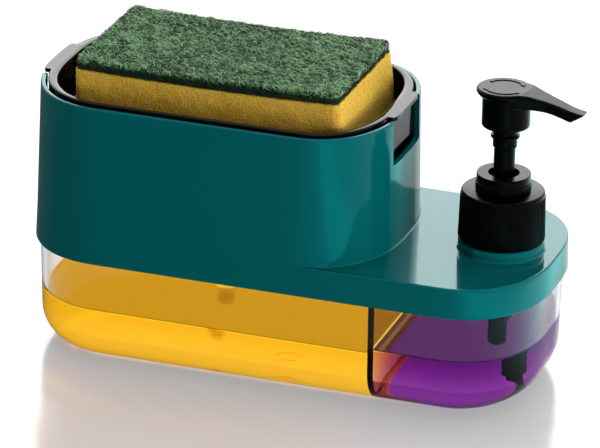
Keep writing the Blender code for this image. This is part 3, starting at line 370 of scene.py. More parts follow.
# Painted shade: the wetted wall's colour darkens towards the edge-on colours.
painted_wet_edge_shade = mix(tree, on_violet, AMBER_EDGE_SHADE, VIOLET_EDGE_SHADE)
half_tint = mix(tree, on_violet, [math.sqrt(value) for value in AMBER_WALL],
                [math.sqrt(value) for value in VIOLET_WALL])
wet = add(tree, 'ShaderNodeBsdfPrincipled', {
    'Base Color': mix(tree, maths(tree, 'POWER', edge_on, 2.0), wall_tint, painted_wet_edge_shade), 'Roughness': 0.005,
    'Transmission Weight': 1.0, 'IOR': 1.25, 'Specular Tint': (0.3, 0.3, 0.3)})
leaving = add(tree, 'ShaderNodeBsdfTransparent', {'Color': half_tint})
backfacing = add(tree, 'ShaderNodeNewGeometry').outputs['Backfacing']
wall = mix_shaders(tree, below, dry, mix_shaders(tree, backfacing, wet, leaving))
foot_tint = mix(tree, maths(tree, 'LESS_THAN', axes['Z'], TANK_WALL / 2), (1, 1, 1), half_tint)
pass_where(tree, 'wetted', wall, foot_tint)
finish_piece(tank, clear, 'tank', 'tank_clear', 'tank')

# Partition and its seal: a clear plate stands in the tank between the two liquids. A black rubber
# strip, pushed over the plate's edge, seals it against the floor and the two long walls.

PARTITION_THICKNESS = 0.0016
SEAL_WIDTH = 0.0022
SEAL_OFFSET = 0.0023
SEAL_DEPTH = 0.0012


def cross_section(offset):
    """The tub's inside seen along X at the partition: down one wall, across and up the other."""
    heights = round_heights(offset) + [0.028, TANK_SHOULDER, TANK_TOP]
    wall = [(HALF_WIDTH - tub_inset(z, offset), z) for z in heights]
    return [(-y, z) for y, z in reversed(wall)] + wall


seal_rings = []
for (y, z), (inner_y, inner_z) in zip(cross_section(SEAL_OFFSET), cross_section(SEAL_OFFSET + SEAL_DEPTH)):
    near, far = PARTITION_X - SEAL_WIDTH / 2, PARTITION_X + SEAL_WIDTH / 2
    seal_rings.append([Vector((near, y, z)), Vector((far, y, z)),
                       Vector((far, inner_y, inner_z)), Vector((near, inner_y, inner_z))])
seal = loft('partition_seal_strip', seal_rings)
soften(seal, 0.0003, 60)
rubber, tree, shader = moulded('seal_rubber', (0.004, 0.004, 0.004), 0.55, gloss=(0.45, 0.65), grain=900,
                               Specular_IOR_Level=0.12)
axes = own_axes(tree)
on_floor = maths(tree, 'LESS_THAN', axes['Z'], TANK_RADIUS)
sunk = maths(tree, 'MULTIPLY', spread(tree, axes['Y'], -0.0360, -0.0325), on_floor)
see_through = add(tree, 'ShaderNodeBsdfTransparent', {'Color': (0.97, 0.74, 0.50)})
show(tree, mix_shaders(tree, sunk, shader, see_through))
finish_piece(seal, rubber, 'tank', 'seal_black', 'partition_seal')

plate_outline = cross_section(SEAL_OFFSET + SEAL_DEPTH + 0.0003)
plate_xs = (PARTITION_X - PARTITION_THICKNESS / 2, PARTITION_X + PARTITION_THICKNESS / 2)
plate = loft('partition_plate', [[Vector((x, y, z)) for y, z in plate_outline] for x in plate_xs])
soften(plate, 0.0002, 60)
mark_wetted(plate, lambda spot, facing: abs(facing.x) > 0.9)
smoked, tree, shader = moulded('partition_plastic', (0.50, 0.42, 0.62), 0.02, gloss=(0.004, 0.02), grain=60,
                               Transmission_Weight=1.0, IOR=1.02)
pass_where(tree, 'wetted', shader)
finish_piece(plate, smoked, 'tank', 'partition_clear', 'partition')

# The two liquid soaps: amber soap fills half of the large chamber, violet soap half of the small one.
# Each is a clear liquid whose colour deepens with the thickness that the light crosses.

SOAP_GAP = 0.0001
TUBE_HOLE = 0.0039
MENISCUS_WIDTH = 0.0016
SOAP_IOR = 1.33
HAND_X = 0.0795
PRESS_X = (LID_LEFT + WELL_RIGHT) / 2


def halved(ring, limit, left):
    """The part of a ring on one side of x = limit, with its points spread as on the whole ring."""
    kept = []
    sign = 1 if left else -1
    for index, point in enumerate(ring):
        after = ring[(index + 1) % len(ring)]
        if sign * (limit - point.x) > 0:
            kept.append(point)
        if (limit - point.x) * (limit - after.x) < 0:
            kept.append(point.lerp(after, (limit - point.x) / (after.x - point.x)))
    return kept


def drill(name, radius, first, second, x, segments=64):
    """Round cutter or boss between two heights."""
    return turned(name, [(0, first), (radius, first), (radius, second), (0, second)], x, segments)


def liquid(name, node, level, left, tube_x, colour, density, film):
    """Soap with a raised rim where it wets the walls, and a hole for the pump's tube."""
    side = -1 if left else 1
    limit = PARTITION_X + side * (SEAL_WIDTH / 2 + SOAP_GAP)
    rings = [halved(ring, limit, left) for ring in tub_rings(TANK_WALL + SOAP_GAP, level + MENISCUS)]
    for share, drop in ((0.12, 0.35), (0.30, 0.65), (0.55, 0.88), (1.0, 1.0)):
        inset = TANK_WALL + SOAP_GAP + MENISCUS_WIDTH * share
        ring = halved(at(plan(tub_inset(level, inset)), level + MENISCUS * (1 - drop)), limit, left)
        for point in ring:
            if abs(point.x - limit) < SOAP_GAP:
                point.x += side * MENISCUS_WIDTH * share
        rings.append(ring)
    piece = loft(name, rings)
    cut(piece, drill(name + '_hole', TUBE_HOLE, -0.002, 0.03, tube_x, 32))
    marks = piece.data.attributes.new('open_top', 'FLOAT', 'FACE')
    for face in piece.data.polygons:
        marks.data[face.index].value = float(face.normal.z > 0.2)
        face.use_smooth = 0.3 < abs(face.normal.z) < 0.9999
    material, tree, shader = new_material(name, (1, 1, 1), 0.0, Transmission_Weight=1.0, IOR=SOAP_IOR)
    stirred = speckle(tree, own_place(tree), 35.0, 2.0)
    feed(shader, {'Normal': bumped(tree, stirred, 0.1, 0.0001)})
    depth = add(tree, 'ShaderNodeVolumeAbsorption', {'Color': colour, 'Density': density})
    feed(tree.nodes['Material Output'], {'Volume': depth})
    above = add(tree, 'ShaderNodeBsdfRefraction', {'Color': film, 'Roughness': 0.0, 'IOR': SOAP_IOR})
    under = add(tree, 'ShaderNodeBsdfTransparent', {'Color': [value * 0.7 for value in film]})
    backfacing = add(tree, 'ShaderNodeNewGeometry').outputs['Backfacing']
    surface = mix_shaders(tree, 0.04, mix_shaders(tree, backfacing, above, under), shader)
    pass_where(tree, 'open_top', surface, inverted=True)
    finish_piece(piece, material, 'tank', name, node)


liquid('amber_liquid', 'amber_soap', AMBER_LEVEL, True, PRESS_X, colour=(0.998, 0.950, 0.10), density=34.0,
       film=(0.72, 0.47, 0.03))
liquid('violet_liquid', 'violet_soap', VIOLET_LEVEL, False, HAND_X, colour=(0.61, 0.21, 0.68), density=60.0,
       film=(0.29, 0.26, 0.30))

# Teal lid with the sponge well: one glossy teal moulding, with a skirt that slips over the tank, a
# flat deck, and the oval well that rises flush with the skirt at its left end. Each end of the well
# has a slot for the tray's tab.

SKIRT_FOOT = 0.0420
DECK_TOP, DECK_LOW = 0.0540, 0.0520
WELL_TOP = 0.1045
SKIRT_WALL, WELL_WALL = 0.0014, 0.0020
SKIRT_DRAFT, WELL_DRAFT = 0.0375, 0.0233
DECK_EDGE_RADIUS = 0.0007
FOOT_RADIUS = 0.0005
RIM_RADIUS = 0.0006
FLOOR_RADIUS = 0.0020
SLOT_HALF = 0.0160
SLOT_FOOT, SLOT_HEAD = 0.0871, 0.1080
NECK_HOLE = 0.0115
EDGE_INSET = SKIRT_DRAFT * (DECK_TOP - SKIRT_FOOT)
QUARTER = [(math.cos(math.pi / 2 * step / 4), math.sin(math.pi / 2 * step / 4)) for step in range(5)]


def outward(points):
    """Unit normals of an outline that runs counter-clockwise."""
    normals = []
    for index in range(len(points)):
        before, after = points[index - 1], points[(index + 1) % len(points)]
        along = Vector((after[0] - before[0], after[1] - before[1])).normalized()
        normals.append((along.y, -along.x))
    return normals


def gap_to(point, outline):
    """Distance from a point to an outline's nearest side."""
    best = 1.0
    target = Vector(point)
    for index in range(len(outline)):
        start, end = Vector(outline[index - 1]), Vector(outline[index])
        span = end - start
        share = clamped((target - start).dot(span) / max(span.length_squared, 1e-12), 0, 1)
        best = min(best, (start + span * share - target).length)
    return best


def rounding(outline, other, limit, moves):
    """Rings moved outwards and up by shares of a radius that shrinks where another outline comes near."""
    radii = [min(limit, 0.35 * gap_to(point, other)) for point in outline]
    rows = list(zip(outline, outward(outline), radii))
    return [[Vector((x + nx * radius * out, y + ny * radius * out, DECK_TOP + radius * rise))
             for (x, y), (nx, ny), radius in rows] for out, rise in moves]


def well_ring(z, inset):
    """Ring of the well's wall, inset from its drafted outside."""
    return at(plan(EDGE_INSET + WELL_DRAFT * (z - DECK_TOP) + inset, well=True), z)


deck_edge = plan(EDGE_INSET)
well_foot = plan(EDGE_INSET, well=True)
wall_heights = (0.0700, 0.0850, 0.0895, 0.1000, WELL_TOP - RIM_RADIUS - 0.0006)
lid_rings = [at(plan(inset), z) for inset, z in (
    (SKIRT_WALL, DECK_LOW), (SKIRT_WALL, SKIRT_FOOT + 0.0003), (SKIRT_WALL - 0.0001, SKIRT_FOOT + 0.0001),
    (SKIRT_WALL - 0.0003, SKIRT_FOOT), (0.0003, SKIRT_FOOT), (0.0001, SKIRT_FOOT + 0.0001),
    (0, SKIRT_FOOT + 0.0003), (SKIRT_DRAFT * 0.001, SKIRT_FOOT + 0.001),
    (SKIRT_DRAFT * 0.01, SKIRT_FOOT + 0.01))]
lid_rings += rounding(deck_edge, well_foot, DECK_EDGE_RADIUS,
                      [(cosine - 1, sine - 1) for cosine, sine in QUARTER] + [(-1.4, 0)])
lid_rings += rounding(well_foot, deck_edge, FOOT_RADIUS,
                      [(1.4, 0)] + [(1 - sine, 1 - cosine) for cosine, sine in QUARTER])
lid_rings += [well_ring(z, 0) for z in (DECK_TOP + 0.0016, *wall_heights)]
lid_rings += [well_ring(WELL_TOP - RIM_RADIUS * (1 - sine), RIM_RADIUS * (1 - cosine))
              for cosine, sine in QUARTER]
lid_rings += [well_ring(WELL_TOP - RIM_RADIUS * (1 - cosine), WELL_WALL - RIM_RADIUS * (1 - sine))
              for cosine, sine in QUARTER]
lid_rings += [well_ring(z, WELL_WALL) for z in (*wall_heights[::-1], DECK_TOP + 0.0030)]
lid_rings += [well_ring(DECK_TOP + FLOOR_RADIUS * (1 - sine), WELL_WALL + FLOOR_RADIUS * (1 - cosine))
              for cosine, sine in QUARTER]
lid_shell = loft('lid_shell', lid_rings)


def block(name, low, high):
    """Plain block between two corners, for cuts and joins."""
    corners = [(low[0], low[1]), (high[0], low[1]), (high[0], high[1]), (low[0], high[1])]
    return loft(name, [at(corners, low[2]), at(corners, high[2])])


cut(lid_shell, drill('hand_hole', NECK_HOLE, 0.050, 0.056, HAND_X),
    drill('press_hole', NECK_HOLE, 0.050, 0.056, PRESS_X),
    block('left_slot', (LID_LEFT - 0.002, -SLOT_HALF, SLOT_FOOT), (-0.0960, SLOT_HALF, SLOT_HEAD)),
    block('right_slot', (0.0363, -SLOT_HALF, SLOT_FOOT), (WELL_RIGHT + 0.002, SLOT_HALF, SLOT_HEAD)))
soften(lid_shell, 0.0004, 60, segments=3)
teal = moulded('teal_plastic', (0.0006, 0.111, 0.120), 0.10, gloss=(0.07, 0.12), grain=120, IOR=1.4,
               Specular_Tint=(0.05, 0.90, 0.90))[0]
finish_piece(lid_shell, teal, 'lid', 'lid_teal', 'lid')

# Necks of the two pumps: both are moulded with the deck. The hand pump's stands on a low boss and
# has a one and a half turn screw thread, the press pump's has a snap bead for its retainer.

THREAD_PITCH = 0.00423
THREAD_TURNS = 1.5
THREAD_FOOT = 0.06213
TURN_STEPS = 48


def thread(name, root, crest, first_height):
    """Screw thread of rounded trapezoid section whose ends fade into the wall."""
    rings = []
    steps = round(THREAD_TURNS * TURN_STEPS)
    for step in range(steps + 1):
        angle = math.tau * step / TURN_STEPS
        height = first_height + THREAD_PITCH * step / TURN_STEPS
        share = min(1, (step + 1) / 12, (steps + 1 - step) / 12)
        peak = root + (crest - root) * (1 + share) / 2
        section = ((root, -0.0011), (peak - 0.0001, -0.0006), (peak, -0.0004),
                   (peak, 0.0004), (peak - 0.0001, 0.0006), (root, 0.0011))
        rings.append([Vector((HAND_X + r * math.cos(angle), r * math.sin(angle), height + rise))
                      for r, rise in section])
    return loft(name, rings)


def shade_over(piece, angle):
    """Smooth shading, with an edge wherever the surface turns by more than angle."""
    piece.data.shade_smooth()
    piece.data.set_sharp_from_angle(angle=math.radians(angle))


hand_neck = turned('hand_neck', [
    (0.0097, 0.0512), (0.0097, 0.0723), (0.0099, 0.0726), (0.0122, 0.0726), (0.0125, 0.0723),
    (0.0125, 0.0580), (0.0157, 0.0580), (0.0161, 0.0579), (0.0164, 0.0576), (0.0164, 0.0551),
    (0.0165, 0.0545), (0.0166, 0.0543), (0.0169, 0.05395), (0.0169, 0.0535), (0.0114, 0.0535),
    (0.0114, 0.0512),
], HAND_X, 96)
neck_thread = thread('neck_thread', 0.0123, 0.0135, THREAD_FOOT)
press_neck = turned('press_neck', [
    (0.0097, 0.0512), (0.0097, 0.0637), (0.0100, 0.0640), (0.0122, 0.0640), (0.0125, 0.0637),
    (0.0125, 0.0618), (0.0130, 0.0610), (0.0125, 0.0602), (0.0125, 0.0562), (0.0130, 0.0560),
    (0.0130, 0.0535), (0.0114, 0.0535), (0.0114, 0.0512),
], PRESS_X, 96)
for neck_piece in (hand_neck, neck_thread, press_neck):
    shade_over(neck_piece, 50)
    finish_piece(neck_piece, teal, 'lid', 'lid_teal', 'lid')

# Gasket under the deck: flat ring of translucent silicone between the tank's rim and the deck, with
# a bar across the partition. It lifts off with the lid.

GASKET_LOW, GASKET_TOP = 0.0503, 0.0517
BAR_HALF = 0.0015
gasket_ring = loft('gasket_ring', [at(plan(inset), z) for inset, z in (
    (0.00175, GASKET_LOW), (0.00175, GASKET_TOP), (0.00415, GASKET_TOP), (0.00415, GASKET_LOW),
)], capped=False, closed=True)
cut(gasket_ring, block('gasket_bar', (PARTITION_X - BAR_HALF, -0.0430, GASKET_LOW),
                       (PARTITION_X + BAR_HALF, 0.0430, GASKET_TOP)), operation='UNION')
soften(gasket_ring, 0.0002, 50)
silicone = moulded('silicone', (0.80, 0.81, 0.80), 0.45, gloss=(0.38, 0.55), grain=700,
                   Subsurface_Weight=0.2, Subsurface_Scale=0.002)[0]
finish_piece(gasket_ring, silicone, 'lid', 'gasket_silicone', 'lid_gasket')

# Working parts of the two pumps: both are common reciprocating pumps, a moulded cylinder with a valve
# ball above a short suction tube, and a hollow stem with a piston that a steel spring lifts again.

NATURAL = (0.90, 0.89, 0.86)
natural, tree, shader = moulded('natural_plastic', NATURAL, 0.15, gloss=(0.10, 0.20), grain=300,
                                depth=0.00003, Transmission_Weight=0.92, IOR=1.02)
dipped = maths(tree, 'LESS_THAN', own_axes(tree)['Z'], AMBER_LEVEL)
feed(shader, {'Base Color': mix(tree, dipped, NATURAL, (0.97, 0.82, 0.35))})
thin = add(tree, 'ShaderNodeBsdfTransparent', {'Color': (0.97, 0.97, 0.96)})
show(tree, mix_shaders(tree, 0.4, thin, shader))
milky = moulded('milky_plastic', (0.82, 0.83, 0.80), 0.32, gloss=(0.26, 0.40), grain=300, depth=0.00003)[0]
black = moulded('pump_black_plastic', (0.0005, 0.0005, 0.0006), 0.24, gloss=(0.20, 0.28), grain=420,
                Specular_IOR_Level=0.14, Specular_Tint=(0.25, 0.25, 0.25))[0]
steel = moulded('spring_steel', (0.62, 0.62, 0.63), 0.22, gloss=(0.16, 0.28), grain=1500, depth=0.00001,
                Metallic=1.0)[0]
BALL_RADIUS = 0.0020
BALL_HEIGHT = 0.02575


def pump_core(name, x, heights, plastic, stem_plastic, bodies, slots):
    """Cylinder, seal, guide, ball, tube, stem, piston and plug of one pump, as turned pieces."""
    flange, head, guide, stem_top, spigot = heights
    fixed, moving = bodies
    cylinder_slot, stem_slot = slots
    piston = head - 0.0055
    plug = piston - 0.0065
    angles = [math.pi * step / 12 for step in range(1, 12)]
    ball = [(BALL_RADIUS * math.sin(angle), BALL_HEIGHT + BALL_RADIUS * math.cos(angle)) for angle in angles]
    parts = (
        ('housing', plastic, fixed, cylinder_slot, 0.0002, [
            (0.0049, head), (0.0070, head), (0.0070, flange + 0.0011), (0.0122, flange + 0.0011),
            (0.0122, flange), (0.0088, flange), (0.0088, flange - 0.0030), (0.0058, flange - 0.0070),
            (0.0058, 0.0270), (0.0036, 0.0240), (0.0036, 0.0055), (0.0027, 0.0055), (0.0027, 0.0120),
            (0.0015, 0.0120), (0.0015, 0.0240), (0.0026, 0.0251), (0.0026, 0.0285), (0.0049, 0.0285)]),
        ('gasket', silicone, fixed, 'gasket_silicone', 0.0001, [
            (0.0091, flange - 0.0003), (0.0122, flange - 0.0003), (0.0122, flange - 0.0014),
            (0.0091, flange - 0.0014)]),
        ('guide', plastic, fixed, cylinder_slot, 0.0003, [
            (0.00585, guide), (0.01025, guide), (0.01025, guide - 0.0030), (0.0106, guide - 0.00335),
            (0.0106, flange + 0.0037), (0.0073, flange + 0.0037), (0.0073, guide - 0.0016),
            (0.00585, guide - 0.0016)]),
        ('dip_tube', plastic, fixed, cylinder_slot, 0.0001, [
            (0.0016, 0.0117), (0.0024, 0.0117), (0.0024, 0.0033), (0.0016, 0.0033)]),
        ('stem', stem_plastic, moving, stem_slot, 0.0002, [
            (0.0017, spigot), (0.0030, spigot), (0.0030, stem_top), (0.00402, stem_top),
            (0.00402, piston + 0.0003), (0.0026, piston + 0.0003), (0.0026, plug - 0.0043),
            (0.0017, plug - 0.0043)]),
        ('piston', milky, moving, 'piston_natural', 0.0001, [
            (0.0029, piston), (0.00484, piston), (0.00484, piston - 0.0009), (0.00424, piston - 0.0018),
            (0.00424, piston - 0.0044), (0.00484, piston - 0.0053), (0.00484, piston - 0.0062),
            (0.0029, piston - 0.0062)]),
        ('piston_seat', milky, moving, 'piston_natural', 0.0002, [
            (0, plug - 0.0062), (0.0040, plug - 0.0062), (0.0040, plug), (0.0029, plug),
            (0.0029, plug - 0.0046), (0, plug - 0.0046)]),
        ('ball', steel, fixed, 'ball_steel', 0, [
            (0, BALL_HEIGHT + BALL_RADIUS), *ball, (0, BALL_HEIGHT - BALL_RADIUS)]),
    )
    for part, material, body, slot, radius, profile in parts:
        piece = turned(f'{name}_{part}_body', profile, x, 48)
        if radius:
            soften(piece, radius)
        else:
            piece.data.shade_smooth()
        finish_piece(piece, material, body, slot, f'{name}_{part}')


pump_core('press', PRESS_X, (0.0657, 0.0713, 0.0732, 0.0837, 0.0882), natural, milky, ('lid', 'tray'),
          ('press_pump_natural', 'press_stem_natural'))
pump_core('pump', HAND_X, (0.0743, 0.0826, 0.0845, 0.0947, 0.1072), black, black, ('pump_unit', 'plunger'),
          ('pump_black', 'pump_black'))

# Return springs: each is one length of stainless wire, wound round and left open.

SPRING_FOOT = 0.0292
SOCKET_KINDS = {float: 'NodeSocketFloat', int: 'NodeSocketInt', bpy.types.Material: 'NodeSocketMaterial'}


def grow(piece, build, values):
    """Runs the nodes that build makes on a piece, with inputs of these names and values."""
    tree = bpy.data.node_groups.new(build.__name__, 'GeometryNodeTree')
    for way in ('INPUT', 'OUTPUT'):
        tree.interface.new_socket('Geometry', in_out=way, socket_type='NodeSocketGeometry')
    sockets = [tree.interface.new_socket(label, in_out='INPUT', socket_type=SOCKET_KINDS[type(value)])
               for label, value in values.items()]
    given = tree.nodes.new('NodeGroupInput').outputs
    real = add(tree, 'GeometryNodeRealizeInstances', {'Geometry': build(tree, given)})
    coat = add(tree, 'GeometryNodeSetMaterial', {'Geometry': real, 'Material': given['Material']})
    feed(tree.nodes.new('NodeGroupOutput'), {'Geometry': coat})
    modifier = piece.modifiers.new(tree.name, 'NODES')
    modifier.node_group = tree
    for socket, value in zip(sockets, values.values()):
        modifier[socket.identifier] = value
    settle(piece)


def rod(tree, curve, radius, sides, closed=True):
    """Rod along a curve; closed gives it end faces and smooth shading."""
    section = add(tree, 'GeometryNodeCurvePrimitiveCircle', {'Resolution': sides, 'Radius': radius})
    body = add(tree, 'GeometryNodeCurveToMesh', {
        'Curve': curve, 'Profile Curve': section, 'Fill Caps': closed})
    return add(tree, 'GeometryNodeSetShadeSmooth', {'Geometry': body}) if closed else body


def wire_spring(tree, given):
    """Round wire wound into even curls."""
    coil = add(tree, 'GeometryNodeCurveSpiral', {
        'Resolution': 28, 'Rotations': given['Curls'], 'Start Radius': given['Coil Radius'],
        'End Radius': given['Coil Radius'], 'Height': given['Length']})
    return rod(tree, coil, given['Wire Radius'], 8)


for spring_name, x, top, curls, body, joint, stroke in (
    ('press_spring', PRESS_X, 0.0524, 6.0, 'lid', 'tray_press', 0.014),
    ('pump_spring', HAND_X, 0.0637, 9.0, 'pump_unit', 'head_press', 0.016),
):
    spring = to_object(spring_name + '_wire', bmesh.new())
    length = top - SPRING_FOOT
    grow(spring, wire_spring, {'Curls': curls, 'Length': length, 'Coil Radius': 0.0038, 'Wire Radius': 0.0004,
                               'Material': steel})
    spring.data.transform(Matrix.Translation((x, 0, SPRING_FOOT)))
    finish_piece(spring, steel, body, 'spring_steel', spring_name)
    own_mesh(spring)

# Retainer of the press pump: white snap ring of moulded plastic that clamps the cylinder's flange
# on the neck in the well's floor.

retainer = turned('press_retainer_ring', [
    (0.0073, 0.0691), (0.0154, 0.0691), (0.0154, 0.0580), (0.0128, 0.0580), (0.0128, 0.0602),
    (0.0136, 0.0610), (0.0136, 0.0671), (0.0073, 0.0671),
], PRESS_X, 96)
soften(retainer, 0.0003)
finish_piece(retainer, milky, 'lid', 'retainer_white', 'press_retainer')

# Sponge tray: glossy black tub that hangs in the well on the pump's stem. Its flat rim is wider at
# the two ends and runs out into a tab through each slot; a finger or the sponge presses it down.

RIM_GAP = 0.0008
RIM_INSET = EDGE_INSET + WELL_DRAFT * (WELL_TOP - DECK_TOP) + WELL_WALL + RIM_GAP
TRAY_TOP = 0.1058
TRAY_RIM_LOW = 0.1042
TRAY_FLOOR, TRAY_LOW = 0.0900, 0.0882
TAB_HALF = 0.0145
END_WIDTH, SIDE_WIDTH = 0.0038, 0.0016
TUB_WALL = 0.0013
TONGUE_HALF = 0.0140
TONGUE_THICKNESS = 0.0013
TONGUE_REACH = RIM_INSET - RIM_GAP + 0.00047
TONGUE_FOOT, TONGUE_HEAD = 0.0902, 0.1050


def tray_ring(end_shift, side_inset, z):
    """Ring of the tray, in from the rim's outline by side_inset, and at the ends by end_shift."""
    shift = end_shift - side_inset
    return at(plan(RIM_INSET + side_inset, True, shift, shift), z)


def tab_block(name, inner_x, side):
    """Tab with rounded tip corners, as thick as the rim; its tip follows the well's outside."""
    outline = plan(EDGE_INSET + WELL_DRAFT * (TRAY_TOP - DECK_TOP) + 0.0001, well=True)
    tip = [(x, y) for x, y in outline if abs(y) < TAB_HALF - 0.0008 and (x - PRESS_X) * side > 0]
    tip.sort(key=lambda point: point[1])
    corner_x = tip[0][0]
    low = [(inner_x, -TAB_HALF), (corner_x - side * 0.0014, -TAB_HALF),
           (corner_x - side * 0.0005, -TAB_HALF + 0.0004)]
    outline = low + tip + [(x, -y) for x, y in reversed(low)]
    return loft(name, [at(outline, TRAY_RIM_LOW), at(outline, TRAY_TOP)])


def tongue(name, left_x):
    """Flat tongue below a tab, from its left face."""
    return block(name, (left_x, -TONGUE_HALF, TONGUE_FOOT),
                 (left_x + TONGUE_THICKNESS, TONGUE_HALF, TONGUE_HEAD))


tray_rings = [tray_ring(END_WIDTH + inset, SIDE_WIDTH + inset, z) for inset, z in (
    (0.0030, TRAY_FLOOR), (0.0022, TRAY_FLOOR + 0.0001), (0.0014, TRAY_FLOOR + 0.0006),
    (0.0010, TRAY_FLOOR + 0.0016), (0.0001, TRAY_TOP - 0.0012), (0, TRAY_TOP - 0.0004),
    (-0.0001, TRAY_TOP - 0.0001), (-0.0003, TRAY_TOP))]
tray_rings += [tray_ring(inset, inset, z) for inset, z in (
    (0.0004, TRAY_TOP), (0.0001, TRAY_TOP - 0.0001), (0, TRAY_TOP - 0.0004), (0, TRAY_RIM_LOW + 0.0002),
    (0.0002, TRAY_RIM_LOW))]
tray_rings += [tray_ring(END_WIDTH - TUB_WALL + end, SIDE_WIDTH - TUB_WALL + side, z) for end, side, z in (
    (-0.0003, 0, TRAY_RIM_LOW), (0, 0.0001, TRAY_RIM_LOW - 0.0004), (0.0009, 0.0009, TRAY_LOW + 0.0020),
    (0.0016, 0.0016, TRAY_LOW + 0.0006), (0.0030, 0.0030, TRAY_LOW))]
tray = loft('tray_tub', tray_rings)
cut(tray, tab_block('left_tab', LID_LEFT + RIM_INSET + 0.0020, -1),
    tab_block('right_tab', WELL_RIGHT - RIM_INSET - 0.0020, 1),
    tongue('left_tongue', LID_LEFT + TONGUE_REACH),
    tongue('right_tongue', WELL_RIGHT - TONGUE_REACH - TONGUE_THICKNESS),
    drill('tray_socket', 0.0046, 0.0890, 0.0840, PRESS_X, 48), operation='UNION')
cut(tray, drill('outlet_recess', 0.0083, 0.0950, 0.0887, PRESS_X),
    drill('stem_bore', 0.0033, 0.0950, 0.0800, PRESS_X, 48))
soften(tray, 0.0003, 55)
gloss_black = moulded('tray_gloss_black', (0.003, 0.003, 0.0033), 0.06, gloss=(0.04, 0.08), grain=90,
                      depth=0.00001, Specular_IOR_Level=0.18)[0]
finish_piece(tray, gloss_black, 'tray', 'tray_black', 'sponge_tray')

# Soap outlet in the tray: perforated disc of black plastic, let into the tray's floor. The soap
# wells up through its holes into the sponge.

HOLE_RADIUS = 0.0006
outlet = turned('outlet_disc', [
    (0, 0.0900), (0.0070, 0.0900), (0.0077, 0.0899), (0.0080, 0.0896), (0.0080, 0.0890), (0, 0.0890),
], PRESS_X)


def outlet_holes(tree, given):
    """Ring of round rods, one for each hole."""
    circle = add(tree, 'GeometryNodeMeshCircle', {
        'Vertices': given['Holes'], 'Radius': given['Circle Radius']})
    hole = add(tree, 'GeometryNodeMeshCylinder', {
        'Vertices': 16, 'Depth': 0.004, 'Radius': given['Hole Radius']})
    return add(tree, 'GeometryNodeInstanceOnPoints', {'Points': circle, 'Instance': hole})


for count, radius in ((6, 0.0028), (12, 0.0056)):
    drills = to_object('outlet_drills', bmesh.new())
    grow(drills, outlet_holes, {'Holes': count, 'Circle Radius': radius, 'Hole Radius': HOLE_RADIUS,
                                'Material': black})
    drills.data.transform(Matrix.Translation((PRESS_X, 0, 0.0895)))
    cut(outlet, drills)
soften(outlet, 0.0001, 50, segments=1)
finish_piece(outlet, black, 'tray', 'outlet_black', 'tray_outlet')

# Kitchen sponge: open-celled yellow foam with a green scouring pad bonded on top. It lies loose in
# the tray, and its two ends curl up a little.

SPONGE_LEFT, SPONGE_RIGHT = -0.08097, 0.02386
SPONGE_HALF = 0.03197
FOAM_LOW, FOAM_TOP = 0.0903, 0.1143
PAD_TOP = 0.1190
PAD_INSET = 0.0002
SPONGE_BOW = 0.0011
SPONGE_X = (SPONGE_LEFT + SPONGE_RIGHT) / 2
FLARE = 0.0022


def soft_block(name, low, high, corner, edge, step):
    """Dense block with rounded upright corners and softer top and bottom edges."""
    counts = [max(2, round((high[axis] - low[axis]) / step)) for axis in range(3)]
    bm = bmesh.new()
    known = {}

    def vertex(index):
        if index not in known:
            known[index] = bm.verts.new([
                low[axis] + (high[axis] - low[axis]) * index[axis] / counts[axis] for axis in range(3)])
        return known[index]

    for axis in range(3):
        second, third = (axis + 1) % 3, (axis + 2) % 3
        for end in (0, counts[axis]):
            for b in range(counts[second]):
                for c in range(counts[third]):
                    corners = []
                    for db, dc in ((0, 0), (1, 0), (1, 1), (0, 1)):
                        index = [0, 0, 0]
                        index[axis], index[second], index[third] = end, b + db, c + dc
                        corners.append(vertex(tuple(index)))
                    bm.faces.new(corners if end else corners[::-1])
    for vert in bm.verts:
        core = vert.co.copy()
        for axis in range(2):
            core[axis] = clamped(core[axis], low[axis] + corner, high[axis] - corner)
        side = vert.co - core
        if side.length > corner:
            vert.co = core + side.normalized() * corner
        inner = Vector([clamped(vert.co[axis], low[axis] + edge, high[axis] - edge) for axis in range(3)])
        side = vert.co - inner
        if side.length > edge and abs(vert.co.z - inner.z) > 1e-7:
            vert.co = inner + side.normalized() * edge
    return to_object(name, bm)


def bowed(place):
    """Point of the sponge once its ends have curled up; its middle lies lower the higher it is."""
    lift = (place.z - FOAM_LOW) / (PAD_TOP - FOAM_LOW)
    along = (place.x - SPONGE_X) / (SPONGE_RIGHT - SPONGE_X)
    return Vector((place.x, place.y, place.z - SPONGE_BOW * lift * (1 - along ** 2)))


foam = soft_block('foam_block', (SPONGE_LEFT, -SPONGE_HALF, FOAM_LOW), (SPONGE_RIGHT, SPONGE_HALF, FOAM_TOP),
                  corner=0.0025, edge=0.0006, step=0.0008)
for vert in foam.data.vertices:
    place = vert.co.copy()
    rightness = max(0, (place.x - SPONGE_X) / (SPONGE_RIGHT - SPONGE_X))
    flare = FLARE * rightness ** 8 * (FOAM_TOP - place.z) / 0.012
    wave = noise.fractal(place * 120, 0.6, 2.0, 3) * 0.00025
    hollow = max(0, noise.noise(place * 1500 + Vector((3, 1, 7))) - 0.25) * 0.0007
    pit = noise.noise(place * 900) * 0.00014 - hollow
    vert.co = bowed(place) + Vector((min(flare, FLARE), 0, 0))
    if FOAM_LOW + 0.0005 < place.z < FOAM_TOP - 0.0002:
        vert.co += vert.normal * (wave + pit)
foam.data.shade_smooth()


def colours_by(tree, value, *stops):
    """Colours along a value, each stop a position and a colour."""
    ramp = add(tree, 'ShaderNodeValToRGB', {'Fac': value})
    elements = ramp.color_ramp.elements
    for position, colour in stops[1:-1]:
        elements.new(position)
    for element, (position, colour) in zip(elements, stops):
        element.position = position
        element.color = (*colour, 1)
    return ramp


